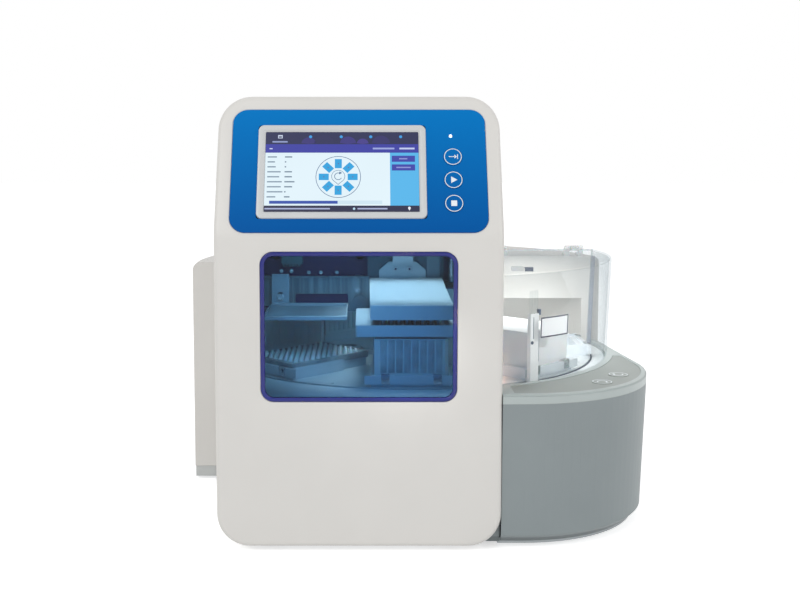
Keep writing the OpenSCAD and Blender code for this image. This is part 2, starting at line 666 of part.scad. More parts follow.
module sleeve_carriage() color("#7d8a92") in_tower() difference() {
  union() {
    span([head_mid - carriage_w / 2, head_mid + carriage_w / 2], [plate_y, plate_y + plate_th], [sleeve_z + 0.8, 346]);
    span([head_mid - 26, head_mid + 26], [plate_y, plate_y + plate_th], [345, magnet_motor_z]);
    // shelf for the magnet motor
    span([head_mid - 20, head_mid + 20], [magnet_y - 18, plate_y + 1], [magnet_motor_z - shelf_t, magnet_motor_z]);
    // nut arm on the lift screw
    span([head_mid + carriage_w / 2 - 1, lift_x + 13], [plate_y, plate_y + plate_th], [312, 340]);
    span([lift_x - 9, lift_x + 10], [lift_y - 9, plate_y + 1], [318, 334]);
    // slider blocks on the rails
    for (s = [-1, 1], z = [268, 322]) translate([head_mid + s * rail_pitch / 2, 0, z])
      span([-rail_w / 2 - 1, rail_w / 2 + 1], [plate_y + plate_th - 1, rail_front - seat], [0, 22]);
    // tongue that carries the sleeve frame
    span([head_mid - 40, head_mid + 40], [head_front + sleeve_l + 0.05, plate_y + 1], [sleeve_z + 0.8, sleeve_z + 10.8]);
  }
  translate([lift_x, lift_y, 300]) cylinder(r = screw_r + fit, h = 50);
  translate([head_mid, magnet_y, magnet_motor_z - 6]) cylinder(r = journal_r + fit, h = 7);
  // lightening slots
  for (s = [-1, 1]) translate([head_mid + s * 12, plate_y - 1, 255]) upright(8) round_rect(14, 30, 4);
}

// sleeve frame and the comb of sleeves that lies in it
head_front = 60;
comb_seat = 2;
module comb_grid() for (i = [0:7], j = [0:11])
  translate([head_mid + (i - 3.5) * well_pitch, head_front + 3 + plate_l / 2 + (j - 5.5) * well_pitch, 0]) children();
module sleeve_frame() color(steel) in_tower() difference() {
  translate([head_mid, head_front + sleeve_l / 2, sleeve_z]) linear_extrude(sleeve_t) round_rect(sleeve_w, sleeve_l, 3);
  // through window, and the wider seat that the comb's flange lies on
  translate([head_mid, head_front + 3 + plate_l / 2, sleeve_z - 1]) linear_extrude(sleeve_t + 2)
    square([plate_w - 4, plate_l - 4], center = true);
  translate([head_mid, head_front + 3 + plate_l / 2, sleeve_z + comb_seat]) linear_extrude(sleeve_t)
    square([plate_w + 2 * plate_play, plate_l + 2 * plate_play], center = true);
  // end grips cut into the long sides
  for (s = [-1, 1]) translate([head_mid + s * sleeve_w / 2, head_front + sleeve_l / 2, sleeve_z - 1])
    linear_extrude(4) square([6, 60], center = true);
}
sleeve_out = 3.6;
module tip_comb() color("#dfe6e8", 0.8) in_tower() difference() {
  union() {
    translate([head_mid, head_front + 3 + plate_l / 2, sleeve_z + comb_seat]) linear_extrude(2)
      round_rect(plate_w, plate_l, 2);
    comb_grid() post(sleeve_out, sleeve_z - 1.2, sleeve_z + 6);
  }
  comb_grid() post(rod_r + seat, sleeve_z, sleeve_z + 8);
}

// magnet lift: bracket with its slider, sloping cover and 96 rods
bracket_z = [274.4, 293.2];
head_back = head_front + head_l;
magnet_front = head_back + 0.1;
head_slope = 9;
module magnet_bracket() color("#6f7f8c") in_tower() difference() {
  union() {
    // trapezoid with two screws
    translate([head_mid - 4, magnet_front, 0]) upright(4) polygon([[-30, bracket_z[0] - 6], [30, bracket_z[0] - 6],
      [30, bracket_z[0] + 8], [18, bracket_z[1]], [-18, bracket_z[1]], [-30, bracket_z[0] + 8]]);
    // slider up the carriage's back plate
    span([head_mid - 17, head_mid + 9], [magnet_y - 9, plate_y - 0.6], [bracket_z[1] + 1, 324]);
    span([head_mid - 17, head_mid + 9], [magnet_front, plate_y - 0.6], [bracket_z[1] - 1, 300]);
    for (x = [-8.7 - 4, 9 - 4]) translate([head_mid + x, magnet_front, 284]) screw_front(3.6, 3, 3);
  }
  translate([head_mid, magnet_y, bracket_z[1] - 3.2]) cylinder(r = screw_r + fit, h = 50);
}
module magnet_screw() color("#d0d3d6") in_tower() translate([head_mid, magnet_y, 0])
  lead_screw(head_z + head_face_h + head_slope + magnet_stroke + 1, magnet_motor_z - shelf_t, 4);
module magnet_motor() color("#2b2d30") in_tower() translate([head_mid, magnet_y - 2, magnet_motor_z]) stepper(30, 34);
rod_z = 229;
module magnet_head() color("#cfd6da") in_tower() difference() {
  translate([head_mid - head_w / 2, 0, 0]) rotate([90, 0, 90]) linear_extrude(head_w) polygon([
    [head_front, head_z], [head_back, head_z], [head_back, head_z + head_face_h + head_slope],
    [head_front + 1, head_z + head_face_h], [head_front, head_z + head_face_h - 1]]);
  translate([head_mid - head_w / 2 + 2.5, 0, 0]) rotate([90, 0, 90]) linear_extrude(head_w - 5) polygon([
    [head_front + 2.5, head_z - 1], [head_back - 3, head_z - 1], [head_back - 3, head_z + head_face_h + head_slope - 3],
    [head_front + 2.5, head_z + head_face_h - 2.6]]);
}
module magnet_rods() color("#aeb6bb") in_tower() {
  span([head_mid - head_w / 2 + 2.5 + seat, head_mid + head_w / 2 - 2.5 - seat],
    [head_front + 2.5 + seat, head_back - 3 - seat], [head_z + 0.6, head_z + 6.6]);
  comb_grid() post(rod_r, rod_z, head_z + 1);
}

// ---- drip tray ----
tray_x = -113;                     // left edge of the tray
tray_y = 121;
tray_back = tray_y + tray_l;
beam_y = 249.5;
beam_t = 2.5;
beam_top = 274.6;
pulley_x = 0.4;
pulley_z = 240;
pulley_r = 10;
module tray_beam() color("#7f8f98") in_tower() {
  difference() {
    translate([0, beam_y, 0]) upright(beam_t) polygon([[-128, 236], [-24, 236], [-18, 229], [12, 229],
      [12, beam_top - 2], [-128, beam_top - 2]]);
    translate([-49, beam_y - 1, 245]) upright(beam_t + 2) round_rect(68, 13, 3);
    translate([pulley_x, beam_y - 1, pulley_z]) rotate([-90, 0, 0]) cylinder(r = 2, h = 6);
  }
  // folded top edge, and two stays back to the chassis
  span([-128, 12], [beam_y - 4, beam_y + beam_t], [beam_top - 2 - eps, beam_top]);
  for (x = [-126, -6]) span([x, x + 10], [beam_y + beam_t - eps, chassis_y - seat], [beam_top - 14, beam_top]);
}
module drip_tray() color(steel) in_tower() difference() {
  span([tray_x, tray_x + tray_w], [tray_y, tray_back], [tray_z, tray_z + tray_lip]);
  span([tray_x + 1.2, tray_x + tray_w - 1.2], [tray_y + 1.2, tray_back - 1.2], [tray_z + 1.2, tray_z + tray_lip + 1]);
}
module tray_bracket() color("#73848f") in_tower() {
  difference() {
    span([tray_x + 1, tray_x + 23], [tray_back + 0.05, tray_back + 2], [tray_z, beam_top + 4.4]);
    span([tray_x + 9, tray_x + 15], [tray_back - 1, tray_back + 3], [250, 256]);
  }
  // slider that runs along the beam under its folded edge
  span([tray_x + 1, tray_x + 23], [tray_back + 2 - eps, beam_y - seat], [258, beam_top - 2 - seat]);
  for (x = [5.5, 18.5]) translate([tray_x + x, tray_back + 0.05, beam_top + 0.4]) screw_front(2.6, 1.6, 1);
  translate([tray_x + 12, tray_back + 0.05, 248]) screw_front(3, 1.6, 1);
}
module tray_pulley() color("#8d9aa2") in_tower() translate([pulley_x, beam_y - 0.4, pulley_z]) rotate([90, 0, 0]) {
  rotate_extrude() polygon([[0, 0], [pulley_r, 0], [pulley_r, 1.2], [pulley_r - 1.6, 1.8], [pulley_r - 1.6, 6.2],
    [pulley_r, 6.8], [pulley_r, 8], [4, 8], [4, 6.6], [0, 6.6]]);
  translate([0, 0, -beam_t]) cylinder(r = 2 - fit, h = beam_t + 1);
}

// ---- carousel ----
disc_top = deck_z + 1.5;
disc_bottom = disc_top - carousel_t;
spindle_r = 12;
module each_nest() for (i = [0:nests - 1]) rotate(-90 + i * 360 / nests) children();
module carousel_disc() color("#b4bcc0") on_axis() difference() {
  union() {
    post(carousel_r, disc_bottom, disc_top);
    post(58, disc_top - eps, disc_top + 6);
  }
  translate([0, 0, disc_bottom - 1]) cylinder(r = spindle_r + 0.3, h = 8);
  // lightening holes between the hub and the nests, and sensor slots near the rim
  rotate(22.5) each_nest() translate([80, 0, disc_bottom - 1]) cylinder(r = 11, h = 20);
  rotate(22.5) each_nest() translate([carousel_r - 10, 0, disc_bottom - 1]) cylinder(r = 2, h = 20);
}
nest_z = 180.5;
plate_outer_r = plate_inner_r + plate_l;
bar_in = plate_outer_r + plate_play;
bar_t = 4.5;
bar_w = 106;
// open heating frame under each plate, with side fences and an outer clamp bar
module plate_nests() color("#8f9da5") on_axis() each_nest() difference() {
  union() {
    span([plate_inner_r + 4, bar_in + 1], [-plate_w / 2 + 2.5, plate_w / 2 - 2.5], [disc_top, nest_z]);
    for (s = [-1, 1]) span([plate_outer_r - 80, bar_in + 1],
      s > 0 ? [plate_w / 2 - 4, plate_w / 2 + plate_play + 2.2] : [-plate_w / 2 - plate_play - 2.2, -plate_w / 2 + 4],
      [disc_top, nest_z]);
    for (s = [-1, 1]) span([plate_outer_r - 80, bar_in + 1],
      s > 0 ? [plate_w / 2 + plate_play, plate_w / 2 + plate_play + 2.2] : [-plate_w / 2 - plate_play - 2.2, -plate_w / 2 - plate_play],
      [nest_z - 1, nest_z + 3]);
    span([bar_in, bar_in + bar_t], [-bar_w / 2, bar_w / 2], [disc_top + 3.4, nest_z + 2.6]);
  }
  span([plate_inner_r + 14, plate_outer_r - 8], [-plate_w / 2 + 9, plate_w / 2 - 9], [disc_top - 1, nest_z + 1]);
}
clip_at = 29.4;
module plate_clips() color("#dde2e5") on_axis() each_nest() for (s = [-1, 1]) translate([bar_in + bar_t, s * clip_at, 0]) {
  difference() {
    union() {
      span([0.05, 1.1], [-4.6, 4.6], [nest_z - 6.5, nest_z + 4.5]);
      span([-bar_t - 1.2, 1.1], [-4.6, 4.6], [nest_z + 3.4, nest_z + 4.5]);
    }
    span([-8, -2], [-1.5, 1.5], [nest_z + 3, nest_z + 5]);
  }
  translate([1.1, 0, nest_z - 1.4]) rotate([0, 90, 0]) cylinder(r = 2.3, h = 1.4, $fn = 24);
}
// microplate with a skirt step and a cut corner; wells from its top face
module plate_body(h) difference() {
  union() {
    linear_extrude(2.6) plate_edge(0);
    translate([0, 0, 2.6 - eps]) linear_extrude(h - 2.6) plate_edge(0.9);
  }
  children();
}
module plate_edge(inset) translate([plate_inner_r + plate_l / 2, 0]) difference() {
  square([plate_l - 2 * inset, plate_w - 2 * inset], center = true);
  translate([plate_l / 2, plate_w / 2]) rotate(45) square(7 + inset, center = true);
}
module wells() translate([plate_inner_r + plate_l / 2, 0, 0])
  for (i = [0:11], j = [0:7]) translate([(i - 5.5) * well_pitch, (j - 3.5) * well_pitch, 0]) children();
module nest_at(i) rotate(-90 + i * 360 / nests) translate([0, 0, nest_z + 0.05]) children();
// nests counted anticlockwise from the front one; two stay empty for loading
deep_nests = [0, 1, 4, 5, 6];
module deep_plates() color("#d9dfe2", 0.85) on_axis() for (n = deep_nests) nest_at(n) plate_body(deep_h)
  wells() translate([-well_side / 2, -well_side / 2, 3]) cube([well_side, well_side, deep_h]);
module elution_plate() color("#d4dadd", 0.9) on_axis() nest_at(nests - 1) plate_body(shallow_h)
  wells() translate([0, 0, 2.5]) cylinder(r = 3.4, h = shallow_h, $fn = 24);

// ---- carousel drive under the disc ----
drive_r = 60;
drive_z = 132;
drive_t = 12;
pinion_r = 12;
pinion_d = 140;
pinion_a = 200;
belt_t = 2;
module spindle() color("#c6cbce") on_axis() {
  post(spindle_r, 60, disc_bottom + 6.5);
  post(24, disc_bottom - 6, disc_bottom - eps);
}
module bearing_block() color("#777f84") on_axis() difference() {
  union() {
    post(48, base_z, base_z + 8);
    post(26, base_z, drive_z - 3);
    for (a = [0:60:300]) rotate(a) span([20, 44], [-3, 3], [base_z, 70]);
  }
  translate([0, 0, 30]) cylinder(r = spindle_r + fit, h = 200);
  for (a = [30:60:330]) rotate(a) translate([39, 0, base_z - 1]) cylinder(r = 2.6, h = 12);
}
module driven_pulley() color("#3b3f43") on_axis() difference() {
  union() {
    post(drive_r + 2, drive_z, drive_z + 1.5);
    post(drive_r, drive_z, drive_z + drive_t);
    post(drive_r + 2, drive_z + drive_t - 1.5, drive_z + drive_t);
    post(22, drive_z, disc_bottom - 6.3);
  }
  translate([0, 0, drive_z - 1]) cylinder(r = spindle_r + 0.02, h = 60);
  for (a = [0:60:300]) rotate(a) translate([40, 0, drive_z - 1]) cylinder(r = 9, h = 20);
}
module at_pinion() rotate(pinion_a) translate([pinion_d, 0, 0]) children();
// belt loop: an arc round each pulley, joined by two straight runs
belt_a = acos((drive_r - pinion_r) / pinion_d);
belt_steps = 24;
function belt_arc(c, r, a0, a1) = [for (i = [0:belt_steps]) let (a = a0 + (a1 - a0) * i / belt_steps) c + r * [cos(a), sin(a)]];
module belt_outline(grow) polygon(concat(
  belt_arc([0, 0], drive_r + grow, belt_a, 360 - belt_a),
  belt_arc([pinion_d, 0], pinion_r + grow, -belt_a, belt_a)));
module drive_belt() color("#1f2022") on_axis() rotate(pinion_a) translate([0, 0, drive_z + 2])
  linear_extrude(drive_t - 4) difference() {
    belt_outline(seat + belt_t);
    belt_outline(seat + 0.3);
  }
module motor_pulley() color("#b7bcbf") on_axis() at_pinion() difference() {
  union() {
    post(pinion_r + 2, drive_z, drive_z + 1.5);
    post(pinion_r, drive_z, drive_z + drive_t);
    post(pinion_r + 2, drive_z + drive_t - 1.5, drive_z + drive_t);
  }
  translate([0, 0, drive_z - 1]) cylinder(r = 4 + fit, h = 30);
}
module carousel_motor() color("#2b2d30") on_axis() at_pinion() {
  translate([0, 0, 50]) stepper(56, 68);
  post(4, 110, drive_z + drive_t + 1);
  post(11, 117, 120);
  // stand on the base plate
  difference() {
    span([-34, 34], [-34, 34], [base_z, 50.01]);
    span([-28, 28], [-40, 40], [base_z + 4, 44]);
  }
}

// ---- electrics ----
module power_supply() color("#aab0b4") on_axis() difference() {
  span([125, 215], [-190, -60], [base_z, 50]);
  for (i = [0:9]) translate([135, -180 + i * 12, 49]) cube([70, 5, 3]);
}
// z runs forwards from the back cover
module at_fan() in_tower() translate([fan_x, tower_back_y - back_t - 0.6, fan_z]) rotate([90, 0, 0]) children();
fan_t = 12;
fan_hub_r = 12;
module cooling_fan() color("#26282a") at_fan() difference() {
  union() {
    difference() {
      translate([0, 0, fan_t / 2]) cube([fan_w, fan_w, fan_t], center = true);
      translate([0, 0, -1]) cylinder(r = fan_w / 2 - 2, h = fan_t + 2);
    }
    // motor cup held by four stays
    post(fan_hub_r, fan_t - 2, fan_t);
    for (a = [45:90:315]) rotate(a) span([fan_hub_r - 1, fan_w / 2 - 1.5], [-1.2, 1.2], [fan_t - 2, fan_t]);
    post(2, 3, fan_t - 1);
  }
  for (x = [-1, 1], y = [-1, 1]) translate([x * 25, y * 25, -1]) cylinder(r = 2, h = fan_t + 2);
}
module fan_rotor() color("#303236") at_fan() difference() {
  union() {
    post(fan_hub_r, 0.8, fan_t - 2 - seat);
    for (a = [0:51.43:359]) rotate(a) translate([fan_hub_r - 1, -1, 2]) rotate([28, 0, 0])
      cube([fan_w / 2 - fan_hub_r - 3, 1.6, 7]);
  }
  translate([0, 0, 3 - seat]) cylinder(r = 2 + fit, h = fan_t);
}
module power_inlet() color("#1d1e20") on_axis() {
  at_rear(inlet_a) inlet_socket();
  at_rear(switch_a) switch_frame();
}
module inlet_socket() difference() {
  union() {
    socket_flange(34, 28);
    intersection() { socket_body(27, 20); span([-30, 2], [-30, 30], [-30, 30]); }
  }
  // recess for the plug, round its three contacts
  difference() {
    span([-16, 5], [-11, 11], [-7.5, 7.5]);
    for (y = [-6, 0, 6]) span([-17, -2], [y - 1, y + 1], [y == 0 ? 1 : -4, y == 0 ? 5 : 0]);
  }
}
module socket_flange(w, h) span([0.6, 3], [-w / 2, w / 2], [-h / 2, h / 2]);
pivot_x = -5;
pin_r = 1.5;
rocker_w = 11;
module switch_frame() difference() {
  union() {
    socket_flange(18, 24);
    intersection() { socket_body(13.6, 19); span([-16, 2], [-30, 30], [-30, 30]); }
  }
  span([-14, 5], [-rocker_w / 2 - seat, rocker_w / 2 + seat], [-8.8, 8.8]);
  translate([pivot_x, 0, 0]) rotate([90, 0, 0]) cylinder(r = pin_r + fit, h = 20, center = true);
}
switch_half = 12;     // half of the rocker's swing in degrees
module power_switch() color("#2a2b2e") on_axis() at_rear(switch_a) translate([pivot_x, 0, 0]) rotate([90, -switch_half, 0]) {
  translate([0, 0, -rocker_w / 2]) linear_extrude(rocker_w)
    polygon([[-4, -2], [7, -7], [5.4, 0], [7, 7], [-4, 2]]);
  translate([0, 0, -rocker_w / 2 - 0.9]) cylinder(r = pin_r, h = rocker_w + 1.8);
}
module usb_port() color("#c3c8cb") on_axis() at_rear(port_a) difference() {
  intersection() { socket_body(13, 12); span([-30, 0.8], [-30, 30], [-30, 30]); }
  for (z = [-3, 3]) span([-12, 3], [-5.5, 5.5], [z - 2, z + 1.6]);
}
// slim post that carries the plate sensor beside the carousel
post_r = carousel_r + 6;
module bay_post() color("#eef0f0") on_axis() rotate(-57) difference() {
  union() {
    span([post_r, post_r + 5], [-4.5, 4.5], [deck_z + 0.05, deck_z + 84]);
    span([post_r - 0.5, post_r + 7], [-7, 7], [deck_z + 0.05, deck_z + 3]);
  }
  span([post_r - 1, post_r + 6], [-1.2, 1.2], [deck_z + 38, deck_z + 78]);
}

base_plate();
rubber_feet();
base_shell();
base_rim();
touch_deck();
deck_key_left();
deck_key_right();
bay_floor();
front_panel();
tower_shell();
tower_back();
rear_housing();
housing_foot();
clear_cover();
cover_hinge();
cover_catch();
window_pane();
window_edging();
console_panel();
screen_frame();
touchscreen();
status_led();
key_upper();
key_middle();
key_lower();
console_board();
chassis_plate();
lift_rails();
lift_screw();
lift_motor();
sleeve_carriage();
sleeve_frame();
tip_comb();
magnet_bracket();
magnet_head();
magnet_rods();
magnet_screw();
magnet_motor();
tray_beam();
drip_tray();
tray_bracket();
tray_pulley();
carousel_disc();
plate_nests();
plate_clips();
deep_plates();
elution_plate();
spindle();
bearing_block();
driven_pulley();
drive_belt();
motor_pulley();
carousel_motor();
power_supply();
cooling_fan();
fan_rotor();
power_inlet();
power_switch();
usb_port();
bay_post();
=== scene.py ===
import math
import bpy
import bmesh
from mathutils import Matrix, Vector


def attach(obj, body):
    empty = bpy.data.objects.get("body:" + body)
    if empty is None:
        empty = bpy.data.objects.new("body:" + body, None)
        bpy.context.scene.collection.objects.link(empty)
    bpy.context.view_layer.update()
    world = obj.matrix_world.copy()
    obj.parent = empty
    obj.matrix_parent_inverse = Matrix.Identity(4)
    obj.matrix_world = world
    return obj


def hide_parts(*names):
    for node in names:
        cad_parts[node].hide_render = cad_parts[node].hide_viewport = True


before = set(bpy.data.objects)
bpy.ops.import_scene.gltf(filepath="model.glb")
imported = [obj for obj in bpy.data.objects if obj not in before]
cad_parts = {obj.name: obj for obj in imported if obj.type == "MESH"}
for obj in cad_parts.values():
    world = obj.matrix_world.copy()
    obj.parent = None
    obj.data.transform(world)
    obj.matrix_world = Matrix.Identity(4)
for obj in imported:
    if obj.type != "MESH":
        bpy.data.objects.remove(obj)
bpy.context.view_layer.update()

# ---- Underframe and feet ----
# A folded steel plate carries everything; six moulded rubber feet are screwed under it.
# The zinc on the plate is dull and slightly cloudy, the rubber is matt and dusty.
MM = 0.001


def linear(hex_colour):
    """sRGB hex text to linear RGBA."""
    parts = [int(hex_colour[i:i + 2], 16) / 255 for i in (1, 3, 5)]
    return [c / 12.92 if c <= 0.04045 else ((c + 0.055) / 1.055) ** 2.4 for c in parts] + [1.0]


def add(tree, kind, settings, links=()):
    """One shader node with its settings, and its inputs linked from (node, output) pairs."""
    node = tree.nodes.new("ShaderNode" + kind)
    for key, value in settings.items():
        if hasattr(node, str(key)):
            setattr(node, key, value)
        else:
            node.inputs[key].default_value = value
    for key, source, output in links:
        tree.links.new(source.outputs[output], node.inputs[key])
    return node


def new_material(name):
    """An empty material and the place of every point on the object, in metres."""
    made = bpy.data.materials.new(name)
    made.use_nodes = True
    made.node_tree.nodes.clear()
    return made, made.node_tree, add(made.node_tree, "TexCoord", {})


def moulded(name, colour, second, grain_mm, depth_mm, settings, edge_mm=0.4, shaded_foot=None):
    """Moulded or coated surface: fine grain as relief, and a faint cloud from one colour to the
    other, about 70 mm across, as pigment and wear leave it.
    A foot of (colour, height in mm) is painted shade: a darker colour below that height."""
    made, tree, place = new_material(name)
    cloud = add(tree, "TexNoise", {"Scale": 14, "Detail": 2}, [("Vector", place, "Object")])
    tint = add(tree, "Mix", {"data_type": "RGBA", 6: linear(colour), 7: linear(second)}, [(0, cloud, "Fac")])
    grain = add(tree, "TexNoise", {"Scale": 1 / (grain_mm * MM), "Detail": 3}, [("Vector", place, "Object")])
    soft = add(tree, "Bevel", {"samples": 4, "Radius": edge_mm * MM})
    relief = add(tree, "Bump", {"Strength": 0.6, "Distance": depth_mm * MM},
                 [("Height", grain, "Fac"), ("Normal", soft, "Normal")])
    # Painted shade: the colour turns darker below the foot's height.
    if shaded_foot:
        shade_colour, height = shaded_foot
        blend = 1.5  # mm over which the painted shade fades into the body colour
        parts = add(tree, "SeparateXYZ", {}, [(0, place, "Object")])
        shade_band = add(tree, "MapRange", {"From Min": (height + blend) * MM, "From Max": height * MM},
                   [("Value", parts, "Z")])
        tint = add(tree, "Mix", {"data_type": "RGBA", 7: linear(shade_colour)},
                   [(0, shade_band, "Result"), (6, tint, 2)])
    skin = add(tree, "BsdfPrincipled", settings, [("Base Color", tint, 2), ("Normal", relief, "Normal")])
    add(tree, "OutputMaterial", {}, [("Surface", skin, "BSDF")])
    return made


STRETCH = 40  # a brush line is this many times as long as it is wide


def brushed(name, colour, second, lines_mm, settings, along=(1, STRETCH, STRETCH), edge_mm=0.25):
    """Brushed or rolled metal: long fine lines vary the colour and the relief."""
    made, tree, place = new_material(name)
    stretched = add(tree, "Mapping", {"Scale": along}, [("Vector", place, "Object")])
    lines = add(tree, "TexNoise", {"Scale": 1 / (lines_mm * MM * STRETCH), "Detail": 4},
                [("Vector", stretched, "Vector")])
    tint = add(tree, "Mix", {"data_type": "RGBA", 6: linear(colour), 7: linear(second)}, [(0, lines, "Fac")])
    soft = add(tree, "Bevel", {"samples": 4, "Radius": edge_mm * MM})
    relief = add(tree, "Bump", {"Strength": 0.25, "Distance": 0.02 * MM},
                 [("Height", lines, "Fac"), ("Normal", soft, "Normal")])
    skin = add(tree, "BsdfPrincipled", settings, [("Base Color", tint, 2), ("Normal", relief, "Normal")])
    add(tree, "OutputMaterial", {}, [("Surface", skin, "BSDF")])
    return made


def paint(made, *nodes):
    """Gives the CAD nodes this material."""
    for name in nodes:
        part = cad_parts[name]
        if not part.material_slots:
            part.data.materials.append(made)
        for place in part.material_slots:
            place.material = made


zinc_plate = brushed("zinc_plated_steel", "#8b9092", "#9da2a4", 0.6, {"Metallic": 1, "Roughness": 0.45})
rubber = moulded("moulded_nitrile_rubber", "#1c1d1e", "#26282a", 0.5, 0.03, {"Roughness": 0.8, "IOR": 1.5})
paint(zinc_plate, "base_plate")
paint(rubber, "rubber_feet")

# ---- Carousel drive ----
# Stepper motor, two pulleys and a toothed belt turn the spindle in its cast bearing block.
# Cast aluminium is grainy, the pulleys are anodised, the belt is matt neoprene.
cast_aluminium = moulded("sand_cast_aluminium", "#6f777b", "#7f878b", 1.2, 0.12,
                         {"Metallic": 0.9, "Roughness": 0.5})
clear_anodised = brushed("clear_anodised_aluminium", "#a9b2b8", "#b9c1c6", 0.35,
                         {"Metallic": 0.9, "Roughness": 0.36})
black_steel = moulded("blackened_motor_steel", "#1d1f21", "#2a2c2f", 0.4, 0.02,
                      {"Metallic": 0.6, "Roughness": 0.42})
ground_steel = brushed("ground_bright_steel", "#b4babd", "#c8cdd0", 0.2,
                       {"Metallic": 1, "Roughness": 0.24}, (STRETCH, STRETCH, 1))
paint(cast_aluminium, "bearing_block")
paint(clear_anodised, "driven_pulley", "motor_pulley", "tray_pulley")
paint(black_steel, "carousel_motor", "lift_motor", "magnet_motor")
paint(ground_steel, "spindle", "lift_rails", "lift_screw", "magnet_screw", "magnet_rods")
paint(rubber, "drive_belt")

# ---- Base covers ----
# Injection-moulded ABS: a grey body with a spark-eroded grain and painted shade darkening its foot,
# a lighter satin rim snapped over it, and a pale foot for the rear housing. A matt grey touch film
# lies in the rim's recess.
# The grey body turns darker below 13 mm: painted shade under its chamfered foot.
grey_abs = moulded("spark_grained_grey_abs", "#858e90", "#8e9799", 0.7, 0.02, {"Roughness": 0.5, "IOR": 1.5},
                   shaded_foot=("#6c7476", 13))
rim_abs = moulded("satin_light_grey_abs", "#adb7b6", "#b7c0bf", 0.5, 0.01,
                  {"Roughness": 0.38, "IOR": 1.5}, 1.2)
touch_film = moulded("matt_polyester_film", "#979e9b", "#a0a6a3", 0.4, 0.01, {"Roughness": 0.5, "IOR": 1.55})
pale_abs = moulded("grained_pale_grey_abs", "#c3c6c5", "#cbcecd", 0.7, 0.02, {"Roughness": 0.5, "IOR": 1.5})
paint(grey_abs, "base_shell")
paint(pale_abs, "housing_foot")
paint(rim_abs, "base_rim")
paint(touch_film, "touch_deck", "deck_key_left", "deck_key_right")

# ---- White covers ----
# Vacuum-formed and painted ABS in a warm light grey: tower shell, tower back and rear housing.
# The satin paint shows a very faint orange peel and soft edges.
white_paint = moulded("satin_painted_abs", "#d9d7d3", "#dfddd9", 1.1, 0.012,
                      {"Roughness": 0.42, "IOR": 1.5}, 0.9)
paint(white_paint, "tower_shell", "tower_back", "rear_housing")

# ---- Front panel ----
# One thick moulding: upright with the window, then leaning back with the console. Its edge
# is well rounded all the way round, and the fold is a soft bend.
FOLD, LEAN, TOP = 348, math.radians(25), 496
ORIGIN_X, ORIGIN_Y = 63, 289  # middle of the whole machine, from the middle of the tower's front
PANEL, PANEL_FOOT = (310, 490, 36), 6  # width, height and corner radius; height of its lower edge
OPENING, WINDOW_Z = (211.6, 162.6, 14.3), 248  # the window's cut-out and the height of its middle
RECESS, RECESS_S = (277, 145, 17), 74.2  # the console's recess and its middle, up from the fold


def at(x, y, z):
    """Tower millimetres to the shared frame in metres."""
    return Vector(((x - ORIGIN_X) * MM, (y - ORIGIN_Y) * MM, z * MM))


def finish_mesh(name, mesh_data, made, body, nodes=(), sharp=35):
    """Turns a bmesh into a piece: smooth but for its sharp edges, with material and body, hiding the CAD nodes
    it replaces.
    """
    bmesh.ops.recalc_face_normals(mesh_data, faces=mesh_data.faces)
    for face in mesh_data.faces:
        face.smooth = True
    for edge in mesh_data.edges:
        edge.smooth = len(edge.link_faces) == 2 and edge.calc_face_angle(0) < math.radians(sharp)
    mesh = bpy.data.meshes.new(name)
    mesh_data.to_mesh(mesh)
    mesh_data.free()
    piece = bpy.data.objects.new(name, mesh)
    bpy.context.scene.collection.objects.link(piece)
    for one in made if isinstance(made, list) else [made]:
        mesh.materials.append(one)
    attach(piece, body)
    if nodes:
        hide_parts(*nodes)
    return piece


def rounded(w, h, r, steps=10):
    """Corner points of a rounded rectangle round the origin, anticlockwise."""
    r = max(r, 0.01)
    points = []
    for k, (sx, sy) in enumerate(((1, 1), (-1, 1), (-1, -1), (1, -1))):
        for i in range(steps + 1):
            a = math.pi / 2 * (k + i / steps)
            points.append((sx * (w / 2 - r) + r * math.cos(a), sy * (h / 2 - r) + r * math.sin(a)))
    return points


def bridge(mesh_data, rings, closed=False):
    """Quads between rings of as many points each."""
    loops = [[mesh_data.verts.new(p) for p in ring] for ring in rings]
    pairs = list(zip(loops, loops[1:])) + ([(loops[-1], loops[0])] if closed else [])
    for low, high in pairs:
        for i in range(len(low)):
            j = (i + 1) % len(low)
            mesh_data.faces.new((low[i], low[j], high[j], high[i]))
    return loops


def fill(mesh_data, loops):
    """Flat fill between an outer loop and the loops of its holes."""
    edges = []
    for loop in loops:
        for i, vert in enumerate(loop):
            edges.append(mesh_data.edges.get((vert, loop[(i + 1) % len(loop)])))
    bmesh.ops.triangle_fill(mesh_data, use_beauty=True, edges=edges)


